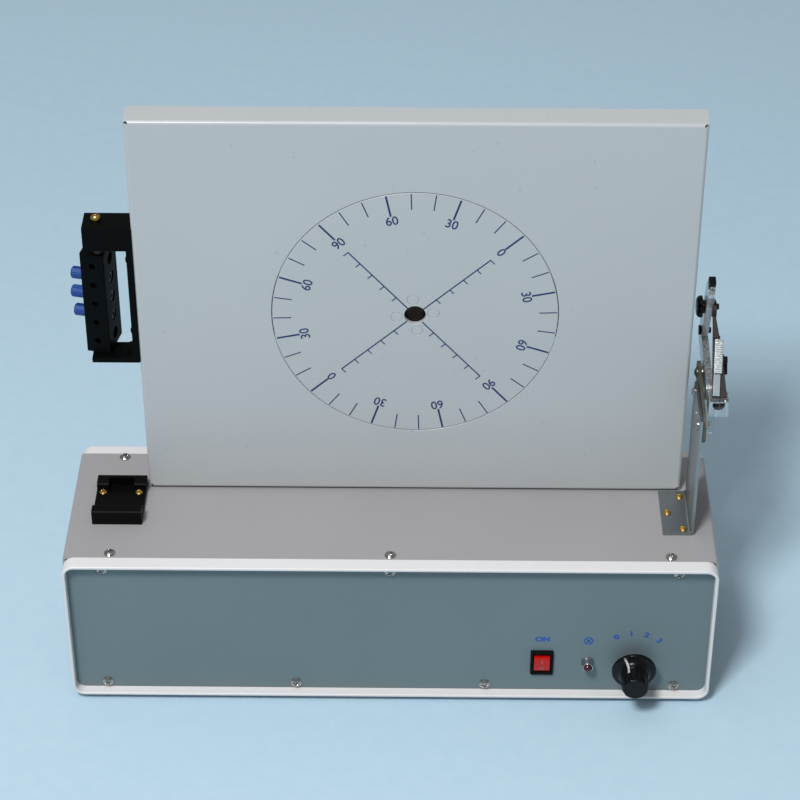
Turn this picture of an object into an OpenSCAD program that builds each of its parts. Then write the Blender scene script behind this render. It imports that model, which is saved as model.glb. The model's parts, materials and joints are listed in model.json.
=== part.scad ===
// Laser optics demonstrator: a mains case that carries an upright white screen with a turning
// angle dial, a swivelling laser bar on the left and an adjustable mirror unit on the right.
// X runs to the right, Y away from the viewer and Z up. The origin lies under the middle of the
// case, on the plane that the rubber feet stand on.

/* [Case] */
// Width of the case over its frames
base_w = 420; // [400:1:460]
// Depth of the case over its frames
base_d = 128; // [122:1:150]
// Height of the case without its feet
base_h = 110; // [104:1:130]
// Thickness of the folded sheet of the cover and the floor
sheet_t = 1.5; // [1:0.1:1.8]
// Thickness of the outer lip of each white frame
lip_t = 2.2; // [2:0.1:3]
// Radius of the frames' outer corners
frame_r = 8; // [6:0.5:9]
// Distance of each panel behind the edge of its frame
panel_recess = 6.5; // [5:0.1:8]
// Distance of the rear panel behind the edge of its frame
rear_recess = 5; // [4.5:0.1:7]
// Thickness of the front and rear panels
panel_t = 2; // [1.5:0.1:2.5]
// Thickness of the flange that a panel is screwed to
flange_t = 1.5; // [1.2:0.1:2]
// Width of that flange, measured from the lip
flange_w = 9; // [8:0.5:11]
// Length of the tongue that reaches under the cover
tongue_l = 11; // [9:0.5:14]
// Height of the upturned edges of the floor
floor_lip_h = 14; // [12:1:20]
// Distance of the outer cover screws from the case's sides
cover_screw_side = 30; // [25:1:60]
// Distance of the cover screws from the edge of the cover
cover_screw_in = 4; // [3.8:0.1:5]
// Distance of the panel screws from the outside of the frame
panel_screw_in = 7; // [6.6:0.1:7.4]
// Distance of the outer screws in the lower panel row from the case's sides
panel_screw_side = 23; // [22:1:40]
// Diameter of the case screws
case_screw_d = 4; // [3:0.5:4]

/* [Feet] */
// Height of each rubber foot
foot_h = 4; // [3:0.5:8]
// Diameter of each rubber foot
foot_d = 18; // [14:1:22]
// Distance of the feet from the case's sides and ends
foot_in = 26; // [24:1:40]

/* [Front panel controls] */
// Height of the row of controls above the case's underside
control_h = 26.7; // [25:0.1:35]
// Distance of the indicator lamp, the middle one of the controls, from the case's right side
lamp_side = 80.5; // [75:0.5:100]
// Spacing of the switch, the lamp and the selector
control_pitch = 30; // [27:0.5:34]
// Width of the rocker switch's bezel
switch_w = 15; // [14:0.1:17]
// Height of the rocker switch's bezel
switch_h = 20; // [19:0.1:23]
// Angle that the rocker tilts to each side
rocker_tilt = 9; // [6:0.5:10]
// Diameter of the lamp's chrome bezel
lamp_d = 8.6; // [8.4:0.1:12]
// Diameter of the selector knob's skirt
knob_d = 29; // [24:0.5:32]
// Diameter of the selector knob's grip
grip_d = 17.2; // [15:0.1:18]
// Length of the selector knob in front of its skirt's back
knob_l = 19.2; // [17:0.1:22]
// Angle of the knob's pointer, anticlockwise from the right
pointer_angle = 119; // [90:1:150]

/* [Mains parts] */
// Width of the mains inlet's opening
inlet_w = 27; // [27:0.5:30]
// Height of the mains inlet's opening
inlet_h = 20; // [20:0.5:24]
// Width of the mains inlet's flange
inlet_flange_w = 48; // [46:0.5:50]
// Distance of the mains inlet's middle from the case's left side
inlet_side = 60; // [50:1:90]
// Distance of the mains inlet below the middle of the rear panel
inlet_down = 10; // [0:1:15]
// Diameter of the fuse holder's cap
fuse_d = 14; // [12:0.5:16]
// Distance between the middles of the inlet and the fuse holder
fuse_pitch = 46; // [40:1:60]
// Width of the transformer's iron core
core_w = 66; // [50:1:75]
// Height of the transformer's iron core
core_h = 55; // [42:1:62]
// Depth of the transformer's iron core
core_d = 24; // [18:1:30]
// Distance of the transformer's middle from the case's right side
core_side = 100; // [80:1:110]
// Width of the supply board
board_w = 150; // [120:1:160]
// Depth of the supply board
board_d = 80; // [70:1:84]
// Distance of the supply board from the case's left side
board_side = 65; // [50:1:80]

/* [Screen] */
// Width of the screen
screen_w = 351; // [320:1:370]
// Height of the screen
screen_h = 278; // [250:1:320]
// Depth of the screen's folded edges
screen_d = 18.6; // [16:0.1:24]
// Thickness of the screen's sheet
screen_t = 1.5; // [1:0.1:2]
// Distance of the screen's face behind the middle of the case
screen_y = 18; // [14:0.5:22]
// Distance of the screen's middle to the right of the case's middle
screen_x = 15; // [8:1:20]
// Gap under the screen, filled by its washers
screen_gap = 1; // [0.8:0.1:3]
// Width of the edges folded in at the screen's back
return_w = 12; // [10:0.5:20]

/* [Dial] */
// Diameter of the dial
dial_d = 180; // [150:1:200]
// Thickness of the dial
dial_t = 3; // [2:0.1:4]
// Gap round the dial
dial_gap = 0.5; // [0.4:0.1:1]
// Diameter of the socket in the middle of the dial
socket_d = 13.6; // [10:0.1:15]
// Outer diameter of the hub that turns in the bearing
hub_d = 20; // [18:0.5:24]
// Diameter of the hub's flange behind the dial
hub_flange_d = 34; // [32:1:44]
// Diameter of the flush heads that hold the hub
rivet_d = 7.3; // [6:0.1:8]
// Distance of those heads from the dial's centre
rivet_place = 11.7; // [11.2:0.1:13]
// Height of the strut that carries the dial's bearing
strut_h = 44; // [40:1:60]

/* [Laser unit] */
// Width of the black laser bracket beside the screen
laser_bracket_w = 30.5; // [29:0.5:34]
// Height of the bracket's underside above the screen's lower edge
laser_bracket_z = 101; // [60:1:160]
// Thickness of the bracket's upper arm
laser_arm_t = 16.5; // [12:0.5:20]
// Thickness of the bracket's lower plate
laser_plate_t = 3.2; // [3:0.1:5]
// Thickness of the bracket's upright against the screen
laser_leg_t = 4; // [3:0.1:5]
// Width of the laser bar
bar_w = 15.6; // [15:0.1:17]
// Depth of the laser bar from front to back
bar_d = 24.4; // [23:0.1:26]
// Height of the laser bar
bar_h = 73.7; // [72:0.1:90]
// Gap between the top of the bar and the bracket's upper arm
bar_gap = 6.4; // [2:0.1:10]
// Gap between the bottom of the bar and the bracket's lower plate
bar_floor_gap = 1.2; // [1:0.1:3]
// Spacing of the five stations along the bar
station_pitch = 14.1; // [13:0.1:14.5]
// Diameter of the laser modules
module_d = 8; // [7:0.1:9]
// Length of each module's blue cap outside the bar
cap_l = 10.3; // [8:0.1:12]
// Angle of the bar at rest, turned towards the viewer
bar_angle = 12; // [0:1:20]
// Diameter of the pivot screws
pivot_d = 4; // [3:0.1:4.5]

/* [Accessory seat] */
// Width of the black accessory seat
seat_w = 32.5; // [28:0.5:34]
// Depth of the seat from front to back
seat_d = 43.6; // [40:0.1:48]
// Distance of the seat's front in front of the middle of the case
seat_fore = 20.4; // [16:0.1:24]
// Gap between the seat and the screen's left edge
seat_gap = 1.45; // [1:0.05:4]
// Height of the seat's front wall
seat_h = 10.4; // [9:0.1:13]
// Height of the seat's rear wall
seat_rear_h = 7.6; // [7:0.1:9]
// Thickness of the seat's front wall
seat_front_wall = 8.2; // [7:0.1:10]
// Thickness of the seat's rear wall
seat_rear_wall = 10.7; // [8:0.1:12]
// Thickness of the seat's floor
seat_floor = 3.4; // [3:0.1:5]

/* [Mirror unit] */
// Thickness of the side bracket's sheet
bracket_t = 2; // [1.5:0.1:2.5]
// Depth of the side bracket from front to back
bracket_d = 44; // [40:0.5:48]
// Height of the side bracket
bracket_h = 91.5; // [90:0.5:96]
// Width of the side bracket's foot
bracket_foot_w = 20; // [18:0.5:22]
// Gap between the side bracket and the screen's right edge
bracket_gap = 3.5; // [3:0.1:6]
// Distance of the bracket's front edge in front of the middle of the case
bracket_fore = 27.5; // [24:0.5:30]
// Height of the swing arm's pivot above the case's top
arm_pivot_up = 81.4; // [80:0.1:84]
// Distance of that pivot in front of the middle of the case
arm_pivot_fore = 17; // [15:0.5:19]
// Distance between the swing arm's pivot and the mirror pivot
swing_l = 43.4; // [42:0.1:46]
// Slope of the swing arm at rest
swing_slope = 14.7; // [12:0.1:18]
// Distance of the swing arm's lock screw from its pivot
lock_radius = 27.2; // [26:0.1:28]
// Thickness of the swing arm
arm_t = 2; // [1.8:0.1:2.2]
// Thickness of the mirror arm
mirror_arm_t = 4.4; // [4:0.1:5]
// Width of the mirror arm's two legs
leg_w = 13; // [11:0.5:15]
// Length of the mirror arm's upper leg
upper_leg_l = 67.1; // [62:0.1:72]
// Slope of the upper leg, which leans towards the viewer
upper_leg_slope = 67.2; // [62:0.1:72]
// Length of the mirror arm's lower leg
lower_leg_l = 51.2; // [50:0.1:54]
// Slope of the lower leg
lower_leg_slope = 9.6; // [6:0.1:12]
// Distance of the arm's corner behind the mirror pivot
corner_back = 29.5; // [28:0.1:32]
// Height of the arm's corner above the mirror pivot
corner_up = 9.7; // [8:0.1:11]
// Distance of the clamp knob from the arm's corner, up the upper leg
knob_up = 32.3; // [28:0.1:36]
// Length of the mirror plate's ramp
ramp_l = 57.8; // [54:0.1:60]
// Slope of the ramp
ramp_slope = 39.7; // [36:0.1:44]
// Width of the ramp
ramp_w = 9.4; // [8.5:0.1:10]
// Largest swing of the arm to each side
arm_swing = 8; // [5:1:9]
// Diameter of the mirror unit's pivot screws
joint_screw_d = 4; // [3:0.1:4.5]
// Diameter of the black clamp knob
clamp_knob_d = 12.6; // [11:0.1:14]
// Width of the lens block
block_w = 12.6; // [12:0.1:13.5]
// Height of the lens block
block_h = 11.4; // [10.5:0.1:13]
// Depth of the lens block
block_d = 12; // [10:0.5:14]
// Diameter of the half-round opening in the lens block
lens_d = 7.8; // [6.5:0.1:8]

/* [Hidden] */

$fn = 64;
fit = 0.05;          // radial clearance of a pin in its bore
touch = 0.15;        // gap between sheet parts laid side by side
base_top = foot_h + base_h;
frame_depth = panel_recess + panel_t + flange_t;
rear_depth = rear_recess + panel_t + flange_t;
mid_z = foot_h + base_h / 2;
front_y = -base_d / 2;
panel_y = front_y + panel_recess;
rear_y = base_d / 2 - rear_recess;
screw_r = case_screw_d / 2;
small_screw_r = 1.5;
cover_y0 = front_y + frame_depth + touch;
cover_y1 = base_d / 2 - rear_depth - touch;
cover_l = cover_y1 - cover_y0;
cover_screw_x = base_w / 2 - cover_screw_side;
panel_screw_x = base_w / 2 - panel_screw_side;
upper_screw_x = panel_screw_x - 2;
side_screw_x = base_w / 2 - sheet_t;
side_screw_ys = [cover_y0 + cover_l / 4, cover_y1 - cover_l / 4];
side_screw_z = foot_h + sheet_t + floor_lip_h * 0.55;

// Front panel controls
control_z = foot_h + control_h;
lamp_x = base_w / 2 - lamp_side;
switch_x = lamp_x - control_pitch;
selector_x = lamp_x + control_pitch;
bezel_t = 2;
rocker_w = switch_w - 4.6;
rocker_h = switch_h - 6;
rocker_r = 1;
switch_wall = 1.2;   // how far the switch's body stands in from its bezel
shaft_r = 3;
bush_r = 4.7;
lens_r = 2.9;
knob_gap = 7.4;
skirt_t = 2.4;
sweep = 4.6;

// Inside the case
floor_z = foot_h + sheet_t;
core_x = base_w / 2 - core_side;
core_y = 6;
core_foot_t = 2;
core_bolt_x = core_w * 0.66;
board_x = board_side + board_w / 2 - base_w / 2;
board_t = 1.6;
spacer_h = 10;
board_z = floor_z + spacer_h;
inlet_x = inlet_side - base_w / 2;
inlet_z = mid_z - inlet_down;
inlet_screw_x = inlet_flange_w / 2 - 4;
fuse_x = inlet_x + fuse_pitch;

// Screen and dial
screen_z = base_top + screen_gap;
screen_left = screen_x - screen_w / 2;
dial_z = screen_z + screen_h / 2;
dial_r = dial_d / 2;
hub_r = hub_d / 2;
strut_t = 2;
strut_y = screen_y + screen_d - screen_t - strut_t;
bearing_y0 = strut_y - 5;
bearing_y1 = screen_y + screen_d + 0.4;
flange_y0 = screen_y + dial_t;
flange_y1 = flange_y0 + 3;
nut_y0 = bearing_y1 + 0.25;
nut_y1 = nut_y0 + 4;
screen_bolt_y = screen_y + screen_d * 0.48;
screen_bolt_xs = [for (s = [-1, -0.4, 0.4, 1]) screen_x + s * screen_w * 0.4];
strut_hole_in = return_w / 2;

// Laser unit, with the bar's pivot as the centre of the bar's own frame
laser_z = screen_z + laser_bracket_z;
laser_left = screen_left - laser_bracket_w;
laser_bracket_h = laser_plate_t + bar_floor_gap + bar_h + bar_gap + laser_arm_t;
pivot_x = laser_left + 8.1;
pivot_y = screen_y + screen_d * 0.53;
pivot_r = pivot_d / 2;
bar_z = laser_z + laser_plate_t + bar_floor_gap;
bar_right = 4.6;
bar_front = -5.2;
bar_mid = bar_right - bar_w / 2;
laser_line = bar_front + bar_d / 2;
station_z = [for (k = [-2:2]) bar_z + bar_h / 2 + k * station_pitch];
pivot_reach = 5.5;
laser_screw_z = [laser_z + laser_plate_t + 15.5, laser_z + laser_bracket_h - laser_arm_t - 12];

// Accessory seat
seat_x = screen_left - seat_gap - seat_w / 2;
seat_front = -seat_fore;
seat_back = seat_front + seat_d;
seat_screw_in = 4.4;
seat_screw_y = seat_back - 13.9;

// Mirror unit: places in Y and Z of what turns about X
bracket_front = -bracket_fore;
bracket_x = screen_x + screen_w / 2 + bracket_gap + bracket_t;
wall_x0 = bracket_x - bracket_t;
arm_x0 = bracket_x + 0.3;
arm_x1 = arm_x0 + arm_t;
nut_gap = 1.3;
plate_x0 = arm_x1 + nut_gap;
plate_x1 = plate_x0 + mirror_arm_t;
joint_r = joint_screw_d / 2;
arm_pivot = [-arm_pivot_fore, base_top + arm_pivot_up];
lock_point = arm_pivot + lock_radius * heading(swing_slope);
mirror_pivot_at = arm_pivot + swing_l * heading(swing_slope);
arm_corner = mirror_pivot_at + [corner_back, corner_up];
arm_top = arm_corner + upper_leg_l * heading(180 - upper_leg_slope);
arm_front = arm_corner - lower_leg_l * heading(lower_leg_slope);
knob_at = arm_corner + knob_up * heading(180 - upper_leg_slope);
corner_knob_at = arm_corner + [-leg_w * 0.54, leg_w * 0.6];
block_x = plate_x0 + 0.9;
block_y = arm_front[0] - 17;
block_z = arm_front[1] - 8.5;
block_mid = block_x + block_w / 2;
ramp_high = knob_at + [-7, 2.6];
ramp_low = ramp_high - ramp_l * heading(ramp_slope);
ramp_x = plate_x0 + 2.7;
ramp_t = 1.6;
tab_x = plate_x1 + 0.1;
tab_t = 2;
knob_t = 4.4;
lug_x = ramp_w - 3;
lug_y = ramp_l * 0.43;
lug_z = -1.8;
lever_r = 1.2;
lens_x = block_x + block_w / 2 - 0.2;
slide_x = block_x + 2.9;
slide_y = block_y + block_d / 2;
slide_w = 4.8;
slide_h = 20.5;
slide_t = 1.6;

// A unit step in the direction that an angle gives
function heading(angle) = [cos(angle), sin(angle)];

// A rectangle with round corners, about its middle
module round_rect(w, h, r) {
  square([w - 2 * r, h], center = true);
  square([w, h - 2 * r], center = true);
  for (sx = [-1, 1], sy = [-1, 1])
    translate([sx * (w / 2 - r), sy * (h / 2 - r)]) circle(r);
}

// A flat bar with round ends from p to q
module round_bar(p, q, w) {
  long = norm(q - p);
  translate(p) rotate(atan2(q[1] - p[1], q[0] - p[0])) {
    translate([0, -w / 2]) square([long, w]);
    half_disc(w / 2);
    translate([long, 0]) rotate(180) half_disc(w / 2);
  }
}

// The left half of a disc of radius r
module half_disc(r) {
  difference() {
    circle(r);
    translate([0, -2 * r]) square([2 * r, 4 * r]);
  }
}

// A link that narrows from a round end of radius r at p to one of radius s at q;
// its straight sides meet the round ends just inside their rims
module taper_link(p, r, q, s) {
  aim = atan2(q[1] - p[1], q[0] - p[0]);
  turn = acos((r - s) / norm(q - p));
  inside = 0.985;
  translate(p) circle(r);
  translate(q) circle(s);
  polygon([for (side = [[p, r, -1], [q, s, -1], [q, s, 1], [p, r, 1]])
    side[0] + side[1] * inside * [cos(aim + side[2] * turn), sin(aim + side[2] * turn)]]);
}

// Extrusions of a flat outline: across X, Y or Z between two places
module slab_x(x0, x1) {
  translate([x0, 0, 0]) rotate([90, 0, 90]) linear_extrude(x1 - x0) children();
}
module slab_y(y0, y1) {
  translate([0, y1, 0]) rotate([90, 0, 0]) linear_extrude(y1 - y0) children();
}
module slab_z(z0, z1) {
  translate([0, 0, z0]) linear_extrude(z1 - z0) children();
}

// Round bars and bores along X and Y, at a place in the other two directions
module rod_x(x0, x1, r, y, z) {
  translate([x0, y, z]) rotate([0, 90, 0]) cylinder(r = r, h = x1 - x0);
}
module rod_y(y0, y1, r, x, z) {
  translate([x, y0, z]) rotate([-90, 0, 0]) cylinder(r = r, h = y1 - y0);
}

// A cross-slotted pan-head screw: the head stands on z = 0, the shank goes down
module pan_screw(r, l, head = 0, high = 0) {
  hr = head == 0 ? r * 1.8 : head;
  hh = high == 0 ? r * 1.2 : high;
  rim = hh * 0.35;
  ball = (hr * hr + (hh - rim) * (hh - rim)) / (2 * (hh - rim));
  difference() {
    rotate_extrude($fn = 48) intersection() {
      translate([0, hh - ball]) circle(ball, $fn = 96);
      square([hr, hh]);
    }
    for (a = [0, 90]) rotate(a)
      translate([-hr * 0.55, -hr * 0.12, hh * 0.45]) cube([hr * 1.1, hr * 0.24, hh]);
  }
  translate([0, 0, -l]) cylinder(r = r, h = l, $fn = 32);
}

// The case's outline in X and Z, drawn in by a distance
module case_outline(inset, r) {
  translate([0, mid_z]) round_rect(base_w - 2 * inset, base_h - 2 * inset, r);
}

// Places of the screws of one end panel, upper row of three and lower row of four
function panel_screw_places() = concat(
  [for (x = [-1, 0, 1]) [x * upper_screw_x, base_top - panel_screw_in]],
  [for (x = [-1, -1 / 3, 1 / 3, 1]) [x * panel_screw_x, foot_h + panel_screw_in]]);

// Places of the cover screws in X and Y
function cover_screw_places() = [for (x = [-1, 0, 1],
  y = [cover_y0 + cover_screw_in, cover_y1 - cover_screw_in]) [x * cover_screw_x, y]];

// An end frame: a bent profile with a lip, a panel flange and a tongue under the cover
module end_frame(depth, screw_y) {
  lip_end = front_y + depth;
  difference() {
    union() {
      slab_y(front_y, lip_end) difference() {
        case_outline(0, frame_r);
        case_outline(lip_t, frame_r - lip_t);
      }
      slab_y(lip_end - flange_t, lip_end) difference() {
        case_outline(0, frame_r);
        case_outline(lip_t + flange_w, frame_r - lip_t);
      }
      slab_y(lip_end, lip_end + tongue_l) difference() {
        case_outline(sheet_t, frame_r - sheet_t);
        case_outline(sheet_t * 2 + 0.2, frame_r - sheet_t * 2);
      }
    }
    for (p = panel_screw_places())
      rod_y(lip_end - flange_t - 1, lip_end + 1, screw_r + fit, p[0], p[1]);
    for (x = [-1, 0, 1])
      translate([x * cover_screw_x, screw_y, base_top - 6]) cylinder(r = screw_r + fit, h = 8);
  }
}

module front_frame() {
  color("white") end_frame(frame_depth, cover_y0 + cover_screw_in);
}

module rear_frame() {
  color("white") mirror([0, 1, 0]) end_frame(rear_depth, cover_screw_in - cover_y1);
}

// The grey cover: a sheet folded down at both sides, drilled for what stands on it
module top_cover() {
  bend = sheet_t + 1;
  color("silver") difference() {
    slab_y(cover_y0, cover_y1) difference() {
      translate([0, mid_z]) round_rect(base_w, base_h, bend);
      translate([0, mid_z]) round_rect(base_w - 2 * sheet_t, base_h - 2 * sheet_t, bend - sheet_t);
      translate([-base_w, foot_h - 1]) square([base_w * 2, bend + 1]);
    }
    for (p = cover_screw_places())
      translate([p[0], p[1], base_top - 3]) cylinder(r = screw_r + fit, h = 6);
    for (x = screen_bolt_xs)
      translate([x, screen_bolt_y, base_top - 3]) cylinder(r = screw_r + fit, h = 6);
    for (p = seat_screw_places())
      translate([p[0], p[1], base_top - 3]) cylinder(r = small_screw_r + fit, h = 6, $fn = 32);
    for (p = bracket_screw_places())
      translate([p[0], p[1], base_top - 3]) cylinder(r = small_screw_r + fit, h = 6, $fn = 32);
    for (sx = [-1, 1], y = side_screw_ys)
      rod_x(sx * base_w / 2 - 3, sx * base_w / 2 + 3, small_screw_r + fit, y, side_screw_z);
  }
}

// The floor: a tray with upturned edges inside the cover's sides and slots for cooling air
module bottom_plate() {
  inner = base_w / 2 - sheet_t - touch;
  lip_in = tongue_l + 1;
  color("silver") difference() {
    union() {
      translate([-inner, cover_y0, foot_h]) cube([inner * 2, cover_l, sheet_t]);
      for (sx = [-1, 1])
        translate([sx > 0 ? inner - sheet_t : -inner, cover_y0 + lip_in, foot_h])
          cube([sheet_t, cover_l - 2 * lip_in, sheet_t + floor_lip_h]);
    }
    for (p = foot_places()) translate([p[0], p[1], 0]) cylinder(r = 2 + fit, h = 20, $fn = 32);
    for (p = spacer_places())
      translate([p[0], p[1], 0]) cylinder(r = small_screw_r + fit, h = 20, $fn = 32);
    for (sx = [-1, 1])
      translate([core_x + sx * core_bolt_x, core_y, 0]) cylinder(r = 2 + fit, h = 20, $fn = 32);
    for (k = [-3:3]) slab_z(0, 20)
      round_bar([core_x + k * 9, core_y + core_d / 2 + 6], [core_x + k * 9, core_y + core_d / 2 + 20], 3);
    for (sx = [-1, 1], y = side_screw_ys)
      rod_x(sx * inner - 3, sx * inner + 3, small_screw_r + fit, y, side_screw_z);
  }
}

function foot_places() = [for (sx = [-1, 1], sy = [-1, 1])
  [sx * (base_w / 2 - foot_in), sy * (base_d / 2 - foot_in)]];

function spacer_places() = [for (sx = [-1, 1], sy = [-1, 1])
  [board_x + sx * (board_w / 2 - 5), sy * (board_d / 2 - 5)]];

// The blank that both end panels are cut from, in X and Z
module panel_blank(y0, y1) {
  slab_y(y0, y1) difference() {
    case_outline(lip_t + touch, frame_r - lip_t - touch);
    for (p = panel_screw_places()) translate(p) circle(screw_r + fit);
  }
}

module front_panel() {
  color("cadetblue") difference() {
    panel_blank(panel_y, panel_y + panel_t);
    translate([switch_x, panel_y - 1, control_z])
      rotate([-90, 0, 0]) slab_z(0, 4 + panel_t)
        square([switch_w - 2, switch_h - 2], center = true);
    rod_y(panel_y - 1, panel_y + panel_t + 1, lamp_d / 2 - 1 + fit, lamp_x, control_z);
    rod_y(panel_y - 1, panel_y + panel_t + 1, bush_r + fit, selector_x, control_z);
  }
}

module rear_panel() {
  color("cadetblue") difference() {
    panel_blank(rear_y - panel_t, rear_y);
    translate([inlet_x, rear_y, inlet_z]) rotate([90, 0, 0])
      translate([0, 0, -3]) linear_extrude(8) square([inlet_w, inlet_h], center = true);
    for (s = [-1, 1])
      rod_y(rear_y - panel_t - 1, rear_y + 1, small_screw_r + fit, inlet_x + s * inlet_screw_x, inlet_z);
    rod_y(rear_y - panel_t - 1, rear_y + 1, fuse_d / 2 - 1, fuse_x, inlet_z);
  }
}

// Screws of the cover: six on top and two smaller ones in each side
module cover_screws() {
  color("gainsboro") {
    for (p = cover_screw_places())
      translate([p[0], p[1], base_top]) rotate(20 + p[0]) pan_screw(screw_r, sheet_t + 4);
    for (sx = [-1, 1], y = side_screw_ys) translate([sx * base_w / 2, y, side_screw_z])
      rotate([0, sx * 90, 0]) pan_screw(small_screw_r, sheet_t * 2 + 2);
  }
}

// Screws of both end panels and of the mains inlet
module panel_screws() {
  color("gainsboro") {
    for (p = panel_screw_places())
      translate([p[0], panel_y, p[1]]) rotate([90, 0, 0])
        rotate(30 + p[0]) pan_screw(screw_r, panel_t + flange_t + 1.5);
    for (p = panel_screw_places())
      translate([p[0], rear_y, p[1]]) rotate([-90, 0, 0])
        rotate(30 + p[0]) pan_screw(screw_r, panel_t + flange_t + 1.5);
    for (s = [-1, 1])
      translate([inlet_x + s * inlet_screw_x, rear_y + 2.5, inlet_z]) rotate([-90, 0, 0])
        pan_screw(small_screw_r, panel_t + 5);
  }
}

// Rubber feet with a moulded recess for the screw
module rubber_feet() {
  color("dimgray") for (p = foot_places()) translate([p[0], p[1], 0]) difference() {
    rotate_extrude() polygon([[0, 0], [foot_d / 2 - 1, 0], [foot_d / 2, foot_h], [0, foot_h]]);
    translate([0, 0, foot_h - 1.5]) cylinder(r = 2 + fit, h = 3, $fn = 32);
    translate([0, 0, -1]) cylinder(r = 4.4, h = foot_h - 0.5, $fn = 48);
  }
}

module foot_screws() {
  color("gainsboro") for (p = foot_places())
    translate([p[0], p[1], foot_h - 1.5]) rotate([180, 0, 0]) {
      pan_screw(2, sheet_t + 5, 3.8, 1.4);
      translate([0, 0, -sheet_t - 1.5 - 3]) cylinder(r = 3.8, h = 3, $fn = 6);
    }
}

// The rocker switch: a snap-in housing with a bezel and a cradle for the rocker
module switch_housing() {
  y0 = panel_y - bezel_t;
  color("black") difference() {
    union() {
      translate([switch_x, 0, control_z]) slab_y(y0, panel_y) round_rect(switch_w, switch_h, 1);
      translate([switch_x, 0, control_z]) slab_y(panel_y, panel_y + 16)
        square([switch_w - 2 * switch_wall, switch_h - 2 * switch_wall], center = true);
      for (dz = [-5, 0, 5]) translate([switch_x - 0.4, panel_y + 16, control_z + dz - 2.4])
        cube([0.8, 7, 4.8]);
    }
    translate([switch_x, 0, control_z]) slab_y(y0 - 1, panel_y + 8)
      square([rocker_w + 0.8, rocker_h + 0.8], center = true);
    rod_x(switch_x - switch_w / 2 + 1, switch_x + switch_w / 2 - 1, rocker_r + fit,
      panel_y + 1, control_z);
  }
}

// The red rocker: two faces that meet in a shallow ridge, on a cross pin
module switch_rocker() {
  reach = rocker_h / 2;
  rise = 3.4;
  depth = reach * tan(rocker_tilt);
  color("red") translate([0, panel_y + 1, control_z]) rotate([rocker_tilt, 0, 0]) {
    slab_x(switch_x - rocker_w / 2, switch_x + rocker_w / 2)
      polygon([[-rise, -reach + 0.6], [-rise - depth, 0], [-rise, reach - 0.6],
        [0, reach - 0.9], [4, 2.4], [4, -2.4], [0, -reach + 0.9]]);
    rod_x(switch_x - switch_w / 2 + switch_wall + 0.1, switch_x + switch_w / 2 - switch_wall - 0.1,
      rocker_r, 0, 0);
  }
}

// The lamp's chrome bezel: a slightly coned barrel with a nut behind the panel
module lamp_bezel() {
  r = lamp_d / 2;
  color("gainsboro") translate([lamp_x, panel_y, control_z]) rotate([90, 0, 0]) difference() {
    union() {
      rotate_extrude() polygon([[0, 0], [r, 0], [r, 0.8], [r - 0.4, 1.2], [r - 0.5, 5.6],
        [r - 0.8, 6], [0, 6]]);
      translate([0, 0, -panel_t - 9]) cylinder(r = r - 1, h = panel_t + 9.5);
      translate([0, 0, -panel_t - 3]) cylinder(r = r + 1, h = 3, $fn = 6);
    }
    translate([0, 0, -20]) cylinder(r = lens_r + fit, h = 40);
  }
}

// The red lamp: a domed body pushed in from behind, with two wires
module lamp_lens() {
  color("darkred") translate([lamp_x, panel_y, control_z]) rotate([90, 0, 0]) {
    translate([0, 0, -4]) cylinder(r = lens_r, h = 10.4);
    translate([0, 0, 6.4]) intersection() {
      translate([0, 0, -1]) sphere(lens_r + 0.16);
      cylinder(r = lens_r, h = 3);
    }
    for (s = [-1, 1]) translate([s * 1.27, 0, -20]) cylinder(r = 0.25, h = 16, $fn = 16);
  }
}

// The rotary switch behind the panel, with its bush, nut and solder tags
module selector_switch() {
  color("darkgray") translate([selector_x, panel_y, control_z]) rotate([90, 0, 0]) difference() {
    union() {
      translate([0, 0, -panel_t - 14]) cylinder(r = 13, h = 14);
      translate([0, 0, -panel_t]) cylinder(r = bush_r, h = panel_t + 1);
      for (k = [0:11]) rotate(k * 30) translate([8.6, -0.9, -panel_t - 19])
        cube([0.8, 1.8, 6]);
    }
    translate([0, 0, -panel_t - 10]) cylinder(r = shaft_r + fit, h = 20);
  }
}

module selector_shaft() {
  color("silver") rod_y(panel_y - knob_gap - 11.5, panel_y + panel_t + 9, shaft_r, selector_x, control_z);
}

// The selector knob: a thin skirt that sweeps up into a fluted grip
module selector_knob() {
  skirt_r = knob_d / 2;
  grip_r = grip_d / 2;
  color("black") translate([selector_x, panel_y - knob_gap, control_z]) rotate([90, 0, 0])
    rotate(pointer_angle) difference() {
      rotate_extrude($fn = 96) difference() {
        polygon([[0, -3], [grip_r, -3], [grip_r + 1, 0], [skirt_r - 0.6, 0], [skirt_r, 0.6],
          [skirt_r, skirt_t - 0.6], [skirt_r - 0.8, skirt_t], [grip_r + sweep, skirt_t + 0.3],
          [grip_r, skirt_t + 0.3 + sweep], [grip_r, knob_l - 1.2], [grip_r - 1.2, knob_l], [0, knob_l]]);
        translate([grip_r + sweep, skirt_t + 0.3 + sweep]) circle(sweep, $fn = 64);
      }
      for (k = [0:9]) rotate(k * 36 + 18) translate([grip_r + 3.4, 0, skirt_t + sweep])
        cylinder(r = 4, h = knob_l, $fn = 48);
      translate([0, 0, -4]) cylinder(r = shaft_r + 0.02, h = 16);
      translate([0, 0, -4]) cylinder(r = bush_r + 1.6, h = 3.4);
    }
}

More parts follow.
